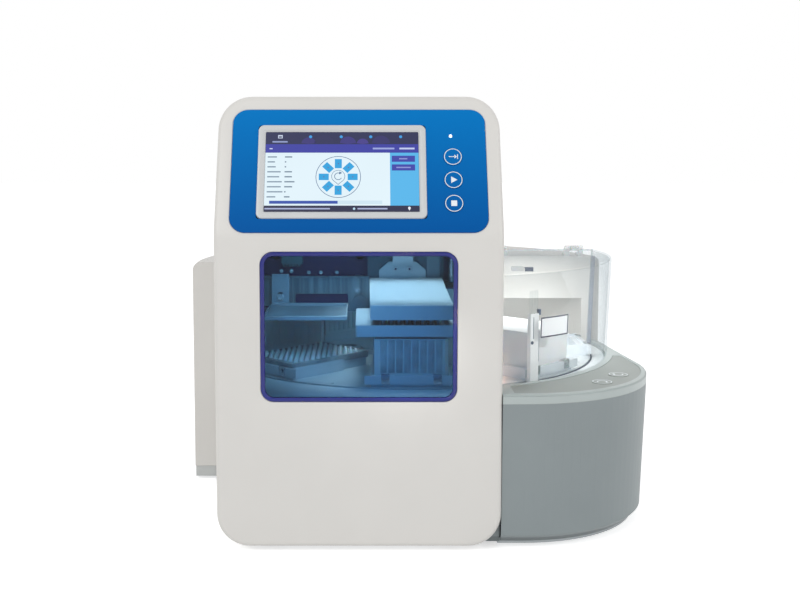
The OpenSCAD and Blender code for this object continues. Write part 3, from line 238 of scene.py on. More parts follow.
def front_panel_mesh():
    """The panel as one upright shell with two openings, then bent back over the fold."""
    shell = bmesh.new()
    edge, wall, deep, lip = 5.5, 3, 12, 0.9
    cos_lean = math.cos(LEAN)

    def outline(inset, depth):
        w, h, r = PANEL
        return [(x, depth, z + (TOP + PANEL_FOOT) / 2)
                for x, z in rounded(w - 2 * inset, h - 2 * inset, r - inset, 14)]

    def window(grow, depth):
        w, h, r = OPENING
        return [(x, depth, z + WINDOW_Z) for x, z in rounded(w + 2 * grow, h + 2 * grow, r + grow)]

    def console(grow, depth):
        w, h, r = RECESS
        return [(x, depth, FOLD + (s + RECESS_S) * cos_lean)
                for x, s in rounded(w + 2 * grow, h + 2 * grow, r + grow)]

    turns = [math.radians(a) for a in (0, 18, 36, 54, 72, 90)]
    outer = [outline(edge * (1 - math.sin(a)), edge * (1 - math.cos(a))) for a in turns]
    skin = bridge(shell, outer + [outline(0, deep), outline(wall, deep), outline(wall, wall)])
    holes = []
    for hole in (window, console):
        rings = [hole(lip * (1 - math.sin(a)), lip * (1 - math.cos(a))) for a in turns]
        holes.append(bridge(shell, rings + [hole(0, wall)]))
    fill(shell, [skin[0]] + [h[0] for h in holes])
    fill(shell, [skin[-1]] + [h[-1] for h in holes])
    # The leaning part is bent back over a soft fold, cut into strips so that it curves.
    soft, strips = 9, 3  # half the fold's height in mm, and the strips in each half
    for k in range(-strips, strips + 1):
        cut = FOLD + soft * k / strips
        bmesh.ops.bisect_plane(shell, geom=list(shell.verts) + list(shell.edges) + list(shell.faces),
                               plane_co=(0, 0, cut), plane_no=(0, 0, 1))
    for vert in shell.verts:
        x, y, z = vert.co
        rise = z - FOLD
        if rise > soft:
            y += rise * math.tan(LEAN)
        elif rise > -soft:
            y += (rise + soft) ** 2 / (4 * soft) * math.tan(LEAN)
        vert.co = at(x, y, z)
    return shell


finish_mesh("front_cover", front_panel_mesh(), white_paint, "machine", ["front_panel"], 50)

# A moulded toe of the base closes the corner behind the panel's round foot.


def toe_mesh():
    """Slab in the corner, its inner side cut to the round of the panel's foot."""
    toe = bmesh.new()
    right, low, high, inner = 154.6, 8.2, 44, 120
    centre_x, centre_z, r = 119, 39, 33.2
    angles = [math.radians(6 - 8 * k) for k in range(13)]
    corner = [(right, low), (right, high)]
    corner += [(centre_x + r * math.cos(a), centre_z + r * math.sin(a)) for a in angles]
    corner.append((inner, low))
    loops = bridge(toe, [[at(x, y, z) for x, z in corner] for y in (12.6, 14.6)])
    fill(toe, [loops[0]])
    fill(toe, [loops[1]])
    return toe


finish_mesh("base_toe", toe_mesh(), grey_abs, "machine")

# ---- Window ----
# A blue acrylic pane, bevelled and set in a violet polished edge. It tints everything
# behind it, and its bevel catches the light as a thin bright line.


def tinted_sheet(name, colour, edge_colour, least, most):
    """Clear sheet: light passes tinted, more so along the sheet, and the surface mirrors a little."""
    made, tree, place = new_material(name)
    # A cast sheet is very slightly wavy, over about 110 mm.
    waves = add(tree, "TexNoise", {"Scale": 9, "Detail": 1}, [("Vector", place, "Object")])
    relief = add(tree, "Bump", {"Strength": 0.1, "Distance": 0.3 * MM}, [("Height", waves, "Fac")])
    facing = add(tree, "LayerWeight", {"Blend": 0.35}, [("Normal", relief, "Normal")])
    along = add(tree, "MapRange", {"From Min": 0.4, "From Max": 1}, [("Value", facing, "Facing")])
    tint = add(tree, "Mix", {"data_type": "RGBA", 6: linear(colour), 7: linear(edge_colour)},
               [(0, along, "Result")])
    through = add(tree, "BsdfTransparent", {}, [("Color", tint, 2)])
    gloss = add(tree, "BsdfGlossy", {"Color": linear("#ffffff"), "Roughness": 0.04},
                [("Normal", relief, "Normal")])
    rim = add(tree, "MapRange", {"From Min": 0.25, "From Max": 1.3, "To Min": least, "To Max": most},
              [("Value", facing, "Facing")])
    both = add(tree, "MixShader", {}, [(0, rim, "Result"), (1, through, "BSDF"), (2, gloss, "BSDF")])
    add(tree, "OutputMaterial", {}, [("Surface", both, "Shader")])
    return made


window_acrylic = tinted_sheet("blue_cast_acrylic", "#9cc4dc", "#7fa5cc", 0.012, 0.4)
edge_acrylic = moulded("violet_polished_acrylic", "#20246f", "#343d9a", 3, 0.02,
                       {"Roughness": 0.12, "IOR": 1.49, "Alpha": 0.85, "Coat Weight": 0.15,
                        "Specular IOR Level": 0.3})


def window_edge_mesh():
    """Ring round the pane from (inset, depth) pairs, bevelled on its front."""
    ring = bmesh.new()
    w, h, r = 211, 162, 14
    profile = ((0, 4.5), (0, 0.6), (0.5, 0), (1.2, -0.35), (3.2, -0.1), (4.3, 0.7), (4.5, 1.2), (4.5, 4.5))
    bridge(ring, [[at(x, y, z + WINDOW_Z) for x, z in rounded(w - 2 * i, h - 2 * i, r - i)]
                  for i, y in profile], True)
    return ring


finish_mesh("window_bevel", window_edge_mesh(), edge_acrylic, "machine", ["window_edging"], 60)
paint(window_acrylic, "window_pane")

# ---- Console ----
# A printed polycarbonate overlay, blue and a little darker towards its foot, bonded into the
# panel's recess. A pale moulded frame with a rolled edge stands round the touch glass.


def slope(x, s, h):
    """Point on the leaning face: x across, s up from the fold, h out of the face, in millimetres."""
    return at(x, s * math.sin(LEAN) - h * math.cos(LEAN), FOLD + s * math.cos(LEAN) + h * math.sin(LEAN))


def overlay_film():
    """Printed blue that deepens towards the foot, under a fine matt texture."""
    made, tree, place = new_material("printed_polycarbonate_film")
    height = add(tree, "SeparateXYZ", {}, [("Vector", place, "Object")])
    film_foot, film_top = 0.352, 0.482  # heights in metres
    up = add(tree, "MapRange", {"From Min": film_foot, "From Max": film_top}, [("Value", height, "Z")])
    print_blue = add(tree, "Mix", {"data_type": "RGBA", 6: linear("#0057a2"), 7: linear("#0078c4")},
                     [(0, up, "Result")])
    grain = add(tree, "TexNoise", {"Scale": 1 / (0.4 * MM), "Detail": 2}, [("Vector", place, "Object")])
    relief = add(tree, "Bump", {"Strength": 0.2, "Distance": 0.01 * MM}, [("Height", grain, "Fac")])
    skin = add(tree, "BsdfPrincipled", {"Roughness": 0.5, "IOR": 1.45, "Specular IOR Level": 0.08},
               [("Base Color", print_blue, 2), ("Normal", relief, "Normal")])
    add(tree, "OutputMaterial", {}, [("Surface", skin, "BSDF")])
    return made


blue_film = overlay_film()
paint(blue_film, "console_panel", "key_upper", "key_middle", "key_lower")

frame_abs = moulded("glossy_pale_abs", "#c6c8c9", "#d2d4d5", 2, 0.01, {"Roughness": 0.3, "IOR": 1.5})


def screen_frame_mesh():
    """Frame from (inset, height) pairs: rolled outside, falling to the glass inside."""
    ring = bmesh.new()
    profile = ((0, -1.5), (0, 1.6), (0.5, 2.4), (1.4, 2.6), (5.4, 2.5), (6.4, 2.1), (7.2, 1.2), (8, 0.9),
               (8, -1.5))
    w, high, corner, middle_x, middle_s = 183, 110, 6.5, -18.5, 72.3
    rings = []
    for inset, h in profile:
        r = corner - inset * 0.62
        rings.append([slope(x + middle_x, s + middle_s, h)
                      for x, s in rounded(w - 2 * inset, high - 2 * inset, r)])
    bridge(ring, rings, True)
    return ring


finish_mesh("display_frame", screen_frame_mesh(), frame_abs, "machine", ["screen_frame"], 40)

# ---- Display ----
# The lit panel under its glass: a dark banner with small icons, a violet title bar, a pale
# page with the carousel's plan, two buttons on a blue strip, and a dark status line.
display_glass = moulded("float_glass_over_black", "#0b1030", "#10163c", 3, 0.005,
                        {"Roughness": 0.08, "IOR": 1.52})
paint(display_glass, "touchscreen")


def lit_picture():
    """Emission from the colour stored on each drawn shape, under a clear coat."""
    made, tree, place = new_material("backlit_display_picture")
    shown = add(tree, "VertexColor", {"layer_name": "shown"})
    # The backlight is a little uneven, over about 80 mm.
    uneven = add(tree, "TexNoise", {"Scale": 12, "Detail": 1}, [("Vector", place, "Object")])
    glow = add(tree, "MapRange", {"To Min": 0.92, "To Max": 1.0}, [("Value", uneven, "Fac")])
    black = linear("#05060c")
    skin = add(tree, "BsdfPrincipled", {"Base Color": black, "Roughness": 0.25, "IOR": 1.52},
               [("Emission Color", shown, "Color"), ("Emission Strength", glow, "Result")])
    add(tree, "OutputMaterial", {}, [("Surface", skin, "BSDF")])
    return made


class Drawing:
    """Thin flat shapes on a face, each with its colour."""

    def __init__(self, put):
        self.mesh, self.put = bmesh.new(), put
        self.tone = self.mesh.loops.layers.float_color.new("shown")

    def colour(self, faces, hex_colour):
        """Stores a colour on the corners of these faces."""
        for face in faces:
            for corner in face.loops:
                corner[self.tone] = linear(hex_colour)

    def shape(self, loop, low, high, hex_colour):
        """A flat shape with this outline, between two heights."""
        before = set(self.mesh.faces)
        rings = bridge(self.mesh, [[self.put(x, y, h) for x, y in loop] for h in (low, high)])
        self.mesh.faces.new(rings[0][::-1])
        self.mesh.faces.new(rings[1])
        self.colour(set(self.mesh.faces) - before, hex_colour)

    def box(self, x0, y0, x1, y1, low, high, hex_colour):
        self.shape([(x0, y0), (x1, y0), (x1, y1), (x0, y1)], low, high, hex_colour)

    def disc(self, x, y, r, low, high, hex_colour, n=28):
        turns = [2 * math.pi * i / n for i in range(n)]
        self.shape([(x + r * math.cos(a), y + r * math.sin(a)) for a in turns], low, high, hex_colour)

    def arc(self, x, y, r, width, a0, a1, low, high, hex_colour, n=40):
        """Part of a ring between two angles in degrees."""
        angles = [math.radians(a0 + (a1 - a0) * i / n) for i in range(n + 1)]
        loop = [(x + r * math.cos(a), y + r * math.sin(a)) for a in angles]
        loop += [(x + (r - width) * math.cos(a), y + (r - width) * math.sin(a)) for a in reversed(angles)]
        before = set(self.mesh.faces)
        rings = [[self.mesh.verts.new(self.put(px, py, h)) for px, py in loop] for h in (low, high)]
        m = len(loop)
        for i in range(m):
            j = (i + 1) % m
            self.mesh.faces.new((rings[0][i], rings[0][j], rings[1][j], rings[1][i]))
        for ring in rings:
            for i in range(n):
                self.mesh.faces.new((ring[i], ring[i + 1], ring[m - 2 - i], ring[m - 1 - i]))
        self.colour(set(self.mesh.faces) - before, hex_colour)


picture = Drawing(slope)
LOW, MID, HIGH = 1.02, 1.12, 1.2  # heights over the leaning face: fields, then what is drawn on them
L, R, B, T = -101.8, 64.8, 25.3, 119.0  # the picture's left, right, bottom and top
BANNER, TITLE, STATUS, STRIP = 104.6, 94.4, 32.4, 33.6  # lines between its fields; the last is upright
for x0, y0, x1, y1, tone in (
        (L, BANNER, R, T, "#141a4c"), (L, TITLE, R, BANNER, "#2c31a0"), (L, STATUS, STRIP, TITLE, "#e2f3fb"),
        (STRIP, STATUS, R, TITLE, "#4db4ea"), (L, B, R, STATUS, "#10153f")):
    picture.box(x0, y0, x1, y1, LOW, MID, tone)
# Soft round shapes stand in the banner.
for x, r, tone in ((-55, 8, "#2b2470"), (-38, 11, "#191c50"), (-12, 9, "#2e2778"), (4, 6.5, "#3a2f86"),
                   (24, 10, "#221f62")):
    picture.arc(x, 104.8, r, r * 0.98, 8, 172, MID - 0.02, MID + 0.02, tone, 24)
# Icons: a page, and four small blue dots. Plain bars stand for the titles.
picture.box(-88.5, 111.6, -83.5, 115.6, MID, HIGH, "#c9d4ea")
picture.box(-87.6, 112.4, -84.4, 114.0, HIGH - 0.02, HIGH + 0.03, "#141a4c")
picture.box(-94.5, 106.6, -78.0, 108.3, MID, HIGH, "#8f9ccb")
for x in (-53, -19.5, 12.8, 45.5):
    picture.disc(x, 113.5, 1.7, MID, HIGH, "#2f9be6")
picture.box(-97.5, 98.6, -94.2, 99.8, MID, HIGH, "#cfd6f4")
picture.box(15.0, 98.4, 38.5, 100.4, MID, HIGH, "#9aa5de")
picture.box(44.0, 98.4, 60.5, 100.4, MID, HIGH, "#c4cdf2")
# Nine rows of names and values are plain bars too.
BAR, ROW = 1.5, 5.86  # a bar's height and the step from row to row
for k, (name_w, value_w) in enumerate(((10, 8), (8, 1.6), (9, 1.6), (14.5, 8), (13, 8), (16, 11), (15, 8.5),
                                       (17, 1.6), (9.5, 6))):
    y = 88.6 - ROW * k
    picture.box(-99.2, y, -99.2 + name_w, y + BAR, MID, HIGH, "#7f93a6")
    picture.box(-80.5, y, -80.5 + value_w, y + BAR, MID, HIGH, "#6f8497")
# The plan of the carousel has a ring, eight plates and a round arrow on a drop.
CX, CY, PLATES_R = -22.4, 65.8, 15.6  # its middle, and how far out the plates are
picture.arc(CX, CY, 24.4, 0.6, 0, 360, MID, HIGH, "#1d4f86", 72)
for k in range(8):
    a = math.pi / 4 * k
    ca, sa = math.cos(a), math.sin(a)
    corners = [(PLATES_R + u, v) for u, v in ((-5.4, -3.8), (5.4, -3.8), (5.4, 3.8), (-5.4, 3.8))]
    picture.shape([(CX + u * ca - v * sa, CY + u * sa + v * ca) for u, v in corners], MID, HIGH, "#12a0de")
    picture.disc(CX + PLATES_R * ca, CY + PLATES_R * sa, 0.7, HIGH, HIGH + 0.05, "#5a5f9a", 10)
for r, tip, low, high, tone in ((7.4, 9.2, MID, HIGH, "#2c5f8e"),
                                (6.9, 8.5, HIGH - 0.03, HIGH + 0.03, "#e2f3fb")):
    drop = [(CX + r * math.cos(math.radians(a)), CY + 0.6 + r * math.sin(math.radians(a)))
            for a in range(-40, 221, 10)]
    picture.shape(drop + [(CX, CY - tip)], low, high, tone)
picture.arc(CX, CY + 0.6, 4.3, 0.7, 60, 330, HIGH, HIGH + 0.08, "#2c5f8e", 30)
picture.shape([(CX + 1.2, CY + 6.2), (CX + 4.2, CY + 4.6), (CX + 1.0, CY + 2.9)], HIGH, HIGH + 0.08, "#2c5f8e")
# A progress bar, two buttons and the status line finish it.
picture.box(-96.5, 34.2, 25.0, 38.2, MID, HIGH - 0.03, "#cfe6f2")
picture.box(-96.2, 34.5, -22.8, 37.9, HIGH - 0.03, HIGH + 0.02, "#2448a8")
for y in (83.6, 73.3):
    picture.box(35.6, y, 60.8, y + 7.2, MID, HIGH, "#3038a6")
picture.box(43.5, 86.5, 52.5, 87.9, HIGH, HIGH + 0.05, "#8d95d8")
picture.box(40.5, 76.2, 56.0, 77.6, HIGH, HIGH + 0.05, "#8d95d8")
picture.box(-101, 28.0, -31, 29.6, MID, HIGH, "#a9b2d6")
picture.disc(-5.2, 28.8, 1.3, MID, HIGH, "#bfe2f6", 16)
picture.box(-1.5, 28.0, 30.5, 29.6, MID, HIGH, "#a9b2d6")
picture.disc(54, 29.6, 1.5, MID, HIGH, "#f2f5fb", 16)
picture.shape([(52.8, 29.0), (55.2, 29.0), (54, 26.6)], MID, HIGH, "#f2f5fb")
finish_mesh("display_picture", picture.mesh, lit_picture(), "machine")

# ---- Console keys and lamp ----
# Three membrane keys under the film: a printed white ring round a plain icon on each.
# The status lamp above them is a small domed lens, lit white.
white_ink = moulded("screen_printed_white_ink", "#e6eef4", "#f2f6f9", 0.3, 0.005, {"Roughness": 0.4})
KEY_X, KEY_TOP = 102, 1.9
INK = "#f0f6fa"
for body, s, icon in (("key_upper", 89.4, "tab"), ("key_middle", 62.1, "run"), ("key_lower", 34.8, "stop")):
    mark = Drawing(slope)
    low, high = KEY_TOP - 0.02, KEY_TOP + 0.08
    mark.arc(KEY_X, s, 9.6, 0.85, 0, 360, low, high, INK, 64)
    if icon == "tab":
        mark.box(KEY_X - 4.6, s - 0.45, KEY_X + 2.4, s + 0.45, low, high, INK)
        mark.shape([(KEY_X + 1.6, s - 2.4), (KEY_X + 4.4, s), (KEY_X + 1.6, s + 2.4)], low, high, INK)
        mark.box(KEY_X + 4.6, s - 2.8, KEY_X + 5.5, s + 2.8, low, high, INK)
    elif icon == "run":
        mark.shape([(KEY_X - 2.6, s - 3.9), (KEY_X + 4.2, s), (KEY_X - 2.6, s + 3.9)], low, high, INK)
    else:
        mark.box(KEY_X - 3.2, s - 3.2, KEY_X + 3.2, s + 3.2, low, high, INK)
    finish_mesh(body + "_print", mark.mesh, white_ink, body)


def lit_lens():
    """Frosted lens, lit from behind and a little uneven."""
    made, tree, place = new_material("lit_polycarbonate_lens")
    # Its frosting is drawn 1.1 mm coarse, because the real one is too fine to show.
    cells = add(tree, "TexNoise", {"Scale": 900}, [("Vector", place, "Object")])
    glow = add(tree, "MapRange", {"To Min": 0.9, "To Max": 1.6}, [("Value", cells, "Fac")])
    skin = add(tree, "BsdfPrincipled", {"Base Color": linear("#dff0ff"), "Roughness": 0.15,
                                        "Emission Color": linear("#e8f6ff")},
               [("Emission Strength", glow, "Result")])
    add(tree, "OutputMaterial", {}, [("Surface", skin, "BSDF")])
    return made


def prism(mesh_data, rings):
    """Closed solid from a stack of rings, with a flat face on each end."""
    loops = bridge(mesh_data, rings)
    mesh_data.faces.new(loops[0][::-1])
    mesh_data.faces.new(loops[-1])


def turned(mesh_data, profile, put, n=20):
    """Closed turned solid from (radius, height) pairs."""
    angles = [2 * math.pi * i / n for i in range(n)]
    prism(mesh_data, [[put(r * math.cos(a), r * math.sin(a), h) for a in angles] for r, h in profile])


lens = bmesh.new()
turned(lens, [(0.3, 1.95), (1.1, 1.75), (1.6, 1.3), (1.75, 0.6), (1.75, -6)],
       lambda a, b, h: slope(KEY_X - 1.8 + a, 114.6 + b, h))
finish_mesh("lamp_lens", lens, lit_lens(), "machine", ["status_led"])
board_green = moulded("solder_masked_fibreglass", "#17553a", "#1f6b4a", 0.8, 0.03, {"Roughness": 0.35})
paint(board_green, "console_board")

# ---- Carousel and its plates ----
# A lapped aluminium disc with eight open heating frames, each with an outer clamp bar and
# two sprung clips. Moulded plates of milky polypropylene stand in them. The lapped and the
# blasted surfaces have a grain without direction.
disc_metal = brushed("lapped_anodised_aluminium", "#ccd2d5", "#d9dee0", 0.5,
                     {"Metallic": 0.25, "Roughness": 0.4}, (6, 6, 6))
spring_steel = brushed("bright_spring_steel", "#c3c9cc", "#d6dbdd", 0.2, {"Metallic": 1, "Roughness": 0.2})


def milky(name, colour, alpha):
    """Milky or frosted plastic: part of the light passes, the rest scatters softly."""
    made, tree, place = new_material(name)
    # Flow marks from the mould are about 17 mm long.
    flow = add(tree, "TexNoise", {"Scale": 60, "Detail": 3}, [("Vector", place, "Object")])
    tint = add(tree, "Mix", {"data_type": "RGBA", 6: linear(colour), 7: linear("#f2f5f6")}, [(0, flow, "Fac")])
    relief = add(tree, "Bump", {"Strength": 0.15, "Distance": 0.05 * MM}, [("Height", flow, "Fac")])
    skin = add(tree, "BsdfPrincipled", {"Roughness": 0.28, "IOR": 1.49, "Alpha": alpha,
                                        "Subsurface Weight": 0.15, "Subsurface Scale": 0.004},
               [("Base Color", tint, 2), ("Normal", relief, "Normal")])
    add(tree, "OutputMaterial", {}, [("Surface", skin, "BSDF")])
    return made


plate_pp = milky("milky_polypropylene", "#e6eaec", 0.86)
paint(disc_metal, "carousel_disc")
nest_metal = brushed("bead_blasted_aluminium", "#d5dce2", "#e4eaee", 0.4,
                     {"Metallic": 0.2, "Roughness": 0.35}, (8, 8, 8))
paint(nest_metal, "plate_nests")
paint(spring_steel, "plate_clips")
paint(plate_pp, "deep_plates", "tip_comb")

# The deep plates in view show their outer wells as upright flutes, and one is closed with a
# seal. A comb of sleeves is parked on the shallow plate: its 96 rounded tips catch the light.
AXIS_X, AXIS_Y, PLATE_MID, PITCH = 59, 299, 171.88, 9  # PLATE_MID is from the axis to a plate's middle
COLUMNS, ROWS = 12, 8


def in_nest(number, u, v, z):
    """Point in a nest: u from the carousel's axis, v across, in millimetres."""
    a = math.radians(-90 + 45 * number)
    return at(AXIS_X + u * math.cos(a) - v * math.sin(a), AXIS_Y + u * math.sin(a) + v * math.cos(a), z)


def flutes_mesh(number):
    """Upright half-round ribs on the four sides of a deep plate, tapered at both ends."""
    ribs = bmesh.new()
    side_u, side_v, half, rise = 62.98, 41.84, 3.6, 0.82  # the plate's sides; a rib's half width and depth
    rows = [(PLATE_MID + (i - 5.5) * PITCH, side * side_v, 0, side) for i in range(COLUMNS) for side in (-1, 1)]
    rows += [(PLATE_MID + side * side_u, (j - 3.5) * PITCH, side, 0) for j in range(ROWS) for side in (-1, 1)]
    for u, v, nu, nv in rows:
        section = [(half * math.cos(a), rise * math.sin(a)) for a in [math.pi * k / 8 for k in range(9)]]
        section += [(-half, -0.3), (half, -0.3)]
        rings = []
        for z, out in ((185.6, 0.02), (187.4, 1), (221.6, 1), (223.4, 0.02)):
            rings.append([in_nest(number, u + nu * h * out + abs(nv) * t, v + nv * h * out + abs(nu) * t, z)
                          for t, h in section])
        prism(ribs, rings)
    return ribs


# Plate 0 stands inside the tower under the head: its flutes are a darker blue-grey copy of the milky plastic,
# painted shade.
shaded_plate_pp = milky("milky_polypropylene_painted_shade", "#6f8592", 0.9)
for number in (0, 4, 5, 6):
    finish_mesh("plate_flutes_%d" % number, flutes_mesh(number), plate_pp if number else shaded_plate_pp, "carousel")

seal_film = moulded("peelable_seal_film", "#d9dee1", "#e4e8ea", 2, 0.02, {"Roughness": 0.3})
film = bmesh.new()
prism(film, [[in_nest(1, PLATE_MID + a, b, z) for a, b in rounded(125, 83, 4)] for z in (224.6, 224.9)])
finish_mesh("plate_seal_film", film, seal_film, "carousel")

LOW_NEST = 7  # the shallow plate's place
low_plate = bmesh.new()
prism(low_plate, [[in_nest(LOW_NEST, PLATE_MID + a, b, z)
                   for a, b in rounded(127 - 2 * i, 84.7 - 2 * i, 4 - i)]
                  for i, z in ((0, 180.7), (0, 188), (0.4, 188.4), (1.6, 188.4), (1.8, 186.8))])
smoked_pp = milky("smoked_polypropylene", "#3c4c58", 0.85)
finish_mesh("elution_tray", low_plate, smoked_pp, "carousel", ["elution_plate"])
tips = bmesh.new()
for i in range(COLUMNS):
    for j in range(ROWS):
        turned(tips, [(2.7, 186.9), (2.6, 188.2), (2, 188.8), (1.7, 190.4), (0.9, 191.3), (0.25, 191.5)],
               lambda a, b, z: in_nest(LOW_NEST, PLATE_MID + (i - 5.5) * PITCH + a, (j - 3.5) * PITCH + b, z),
               12)
clear_tip = milky("clear_glossy_polypropylene", "#ffffff", 0.9)
finish_mesh("parked_sleeves", tips, clear_tip, "carousel", sharp=50)

# ---- Bay deck ----
# A pale coated sheet closes the bay round the carousel. The sensor post on it is a white
# acetal channel, moulded with a foot, with its screw and sensor in dark nylon; a thin dark slot
# and a dark strip down its right side are painted shade.
POST_R, POST_ANGLE = 254, -56.3  # where the post stands from the carousel's axis
pale_sheet = moulded("pale_powder_coated_sheet", "#dfe4e6", "#e8ecee", 0.5, 0.015, {"Roughness": 0.45})
paint(pale_sheet, "bay_floor")


def on_post(across, out, z):
    """Point on the post: across to the right, out from the carousel's axis, in millimetres."""
    a = math.radians(POST_ANGLE)
    return at(AXIS_X + (POST_R + out) * math.cos(a) - across * math.sin(a),
              AXIS_Y + (POST_R + out) * math.sin(a) + across * math.cos(a), z)


post = bmesh.new()
channel = [(-6.4, -2.6), (-5.8, -3), (5.8, -3), (6.4, -2.6), (6.4, 3), (5.2, 3), (5.2, -1.6), (-5.2, -1.6),
           (-5.2, 3), (-6.4, 3)]
loops = bridge(post, [[on_post(u, -v * 0.9, z) for u, v in channel] for z in (168.6, 250)])
fill(post, [loops[0]])
fill(post, [loops[1]])
prism(post, [[on_post(u, v, z) for u, v in rounded(14, 7.4, 1.5, 4)] for z in (168.6, 170.8, 171.6)])
white_pom = moulded("white_acetal", "#f0f2f3", "#f8f9fa", 0.5, 0.01, {"Roughness": 0.35})
finish_mesh("post_channel", post, white_pom, "machine", ["bay_post"], 30)
# Its slot, a strip down its right side and its sensor are blocks, and its cover screw is turned.
# The slot and the strip are painted shade.
fittings = bmesh.new()
for u, w, out, d, z0, z1 in ((-1.9, 0.8, 2.8, 0.2, 221, 246), (7.4, 1.8, 0, 3, 194, 231),
                             (8.3, 3.8, 0, 4, 248, 254.5)):
    prism(fittings, [[on_post(u + a, out + b, z) for a, b in rounded(w, d, d * 0.2, 3)] for z in (z0, z1)])
turned(fittings, [(1.9, 0), (1.9, 0.8), (1.5, 1.1), (0.8, 1.1), (0.8, 0.4)],
       lambda a, b, h: on_post(-4 + a, 2.6 + h, 216.7 + b), 18)
dark_nylon_and_shade = moulded("dark_nylon_and_painted_shade", "#44536a", "#50607a", 0.4, 0.01, {"Roughness": 0.4})
finish_mesh("post_fittings", fittings, dark_nylon_and_shade, "machine")

# ---- Lifting head ----
# Folded and anodised aluminium on a dark coated chassis plate: the carriage, the sleeve
# frame, and the magnet head under its sloping cover.
dark_coat_and_shade = moulded("dark_violet_powder_coat_and_shade", "#3a2a5c", "#43336a", 0.6, 0.02, {"Roughness": 0.5})
head_metal = brushed("matt_anodised_aluminium", "#ccd5dc", "#d8e0e6", 0.5,
                     {"Metallic": 0.35, "Roughness": 0.42})
paint(dark_coat_and_shade, "chassis_plate")
blue_grey = brushed("blue_grey_anodised_aluminium", "#b8c8d3", "#c9d6de", 0.5,
                    {"Metallic": 0.3, "Roughness": 0.4})
paint(head_metal, "sleeve_frame", "magnet_head")
paint(blue_grey, "magnet_bracket", "tray_bracket")
slate_anodised = brushed("slate_anodised_aluminium", "#4c6472", "#5c7684", 0.5,
                         {"Metallic": 0.4, "Roughness": 0.4})
# The tray beam's upright streaks, about 6 mm wide, from dark navy to near white, are painted reflection.
streaked_steel_reflection = brushed("stainless_strip_painted_reflection", "#173440", "#d5e2e6", 6,
                       {"Metallic": 0.5, "Roughness": 0.32}, (STRETCH, STRETCH, 1))
paint(slate_anodised, "sleeve_carriage")
paint(streaked_steel_reflection, "tray_beam")

# Pan-head screws hold the beam and the plate behind it.
head_screws = bmesh.new()
SCREW_SCALE = 1.15  # the heads are drawn this much wider, so that they show behind the pane
for x, y, z, r in ((-65.5, 251, 279.2, 2.1), (-50, 251, 279.2, 2.1), (-29.3, 251, 279.2, 2.1),
                   (-72.6, 263.8, 247.1, 2.4), (-54.4, 263.8, 248.2, 2.4), (-38.8, 263.8, 246.9, 2.4),
                   (-2.7, 249.4, 255.8, 3.2), (-100.5, 245.4, 281.6, 2.2), (-87.6, 245.4, 281.6, 2.2),
                   (-101, 231.3, 249.6, 4.2)):
    r *= SCREW_SCALE
    turned(head_screws, [(r, 0), (r, 1.1), (r * 0.8, 1.6), (r * 0.42, 1.7), (r * 0.4, 0.7)],
           lambda a, b, h: at(x + a, y - h, z + b), 18)
bright_steel_and_highlight = moulded("bright_plated_steel_and_highlight", "#e2e9ee", "#f2f6f9", 0.5, 0.01,
                      {"Metallic": 0.4, "Roughness": 0.2})
finish_mesh("beam_screws", head_screws, bright_steel_and_highlight, "machine")
# Two cap screws with hexagon sockets hold the magnet bracket; a dark hexagon in each socket is painted shade.
caps, socket_shade = bmesh.new(), bmesh.new()
for x in (46.3, 64):
    turned(caps, [(3.9, 0), (3.9, 1.6), (3.4, 2.2), (1.9, 2.2), (1.8, 1)],
           lambda a, b, h: at(x + a, 248 - h, 284 + b), 24)
    turned(socket_shade, [(1.7, 1.1), (1.7, 1.5)], lambda a, b, h: at(x + a, 248 - h, 284 + b), 6)
finish_mesh("bracket_cap_screws", caps, bright_steel_and_highlight, "magnet_lift_unit")
finish_mesh("cap_screw_socket_shade", socket_shade, dark_coat_and_shade, "magnet_lift_unit")
# A grey strip is bonded down the edge of the carriage's right side.
edge_strip = bmesh.new()
section = [(86.5, 252.9), (86.5, 252.5), (87, 252.1), (103, 252.1), (103.5, 252.5), (103.5, 252.9)]
prism(edge_strip, [[at(x, y, z) for x, y in section] for z in (262, 343)])
strip_metal = brushed("grey_anodised_strip", "#7c909c", "#8ca0ab", 0.5, {"Metallic": 0.3, "Roughness": 0.4})
finish_mesh("carriage_edge_strip", edge_strip, strip_metal, "sleeve_lift_unit")
# Dark sheet guards close the cut-out in the beam and the cable holes in the chassis plate; the
# right one is painted shade, a dark sheet hiding the tower's bright inner wall.
guards_and_shade_sheet = bmesh.new()
for x, z, w, h, y in ((-59, 245, 132, 24, 253), (-55, 316, 150, 56, 268.5), (129, 300, 38, 80, 268.5)):
    loops = bridge(guards_and_shade_sheet, [[at(x + a, y + t, z + b) for a, b in rounded(w, h, 3, 4)] for t in (0, 0.8)])
    guards_and_shade_sheet.faces.new(loops[0])
    guards_and_shade_sheet.faces.new(loops[1][::-1])
finish_mesh("chassis_guards_and_shade_sheet", guards_and_shade_sheet, dark_coat_and_shade, "machine")
# A cable comb with six teeth is screwed to the chassis plate.
comb = bmesh.new()
outline = [(-101, 300), (-74, 300), (-74, 290)]
for k in range(6):
    outline += [(-77 - 4 * k, 290), (-77 - 4 * k, 286.6), (-79 - 4 * k, 286.6), (-79 - 4 * k, 290)]
outline.append((-101, 290))
loops = bridge(comb, [[at(x, y, z) for x, z in outline] for y in (252.5, 263.4)])
fill(comb, [loops[0]])
fill(comb, [loops[1]])
teal_nylon = moulded("teal_nylon", "#5b8388", "#688f94", 0.5, 0.01, {"Roughness": 0.45})
finish_mesh("cable_comb", comb, teal_nylon, "machine")

# ---- Drip tray ----
# Pressed stainless steel, brushed along its length.
stainless = brushed("brushed_stainless_steel", "#b5c1c7", "#c9d3d8", 0.4,
                    {"Metallic": 0.45, "Roughness": 0.3})
paint(stainless, "drip_tray", "power_supply", "usb_port")
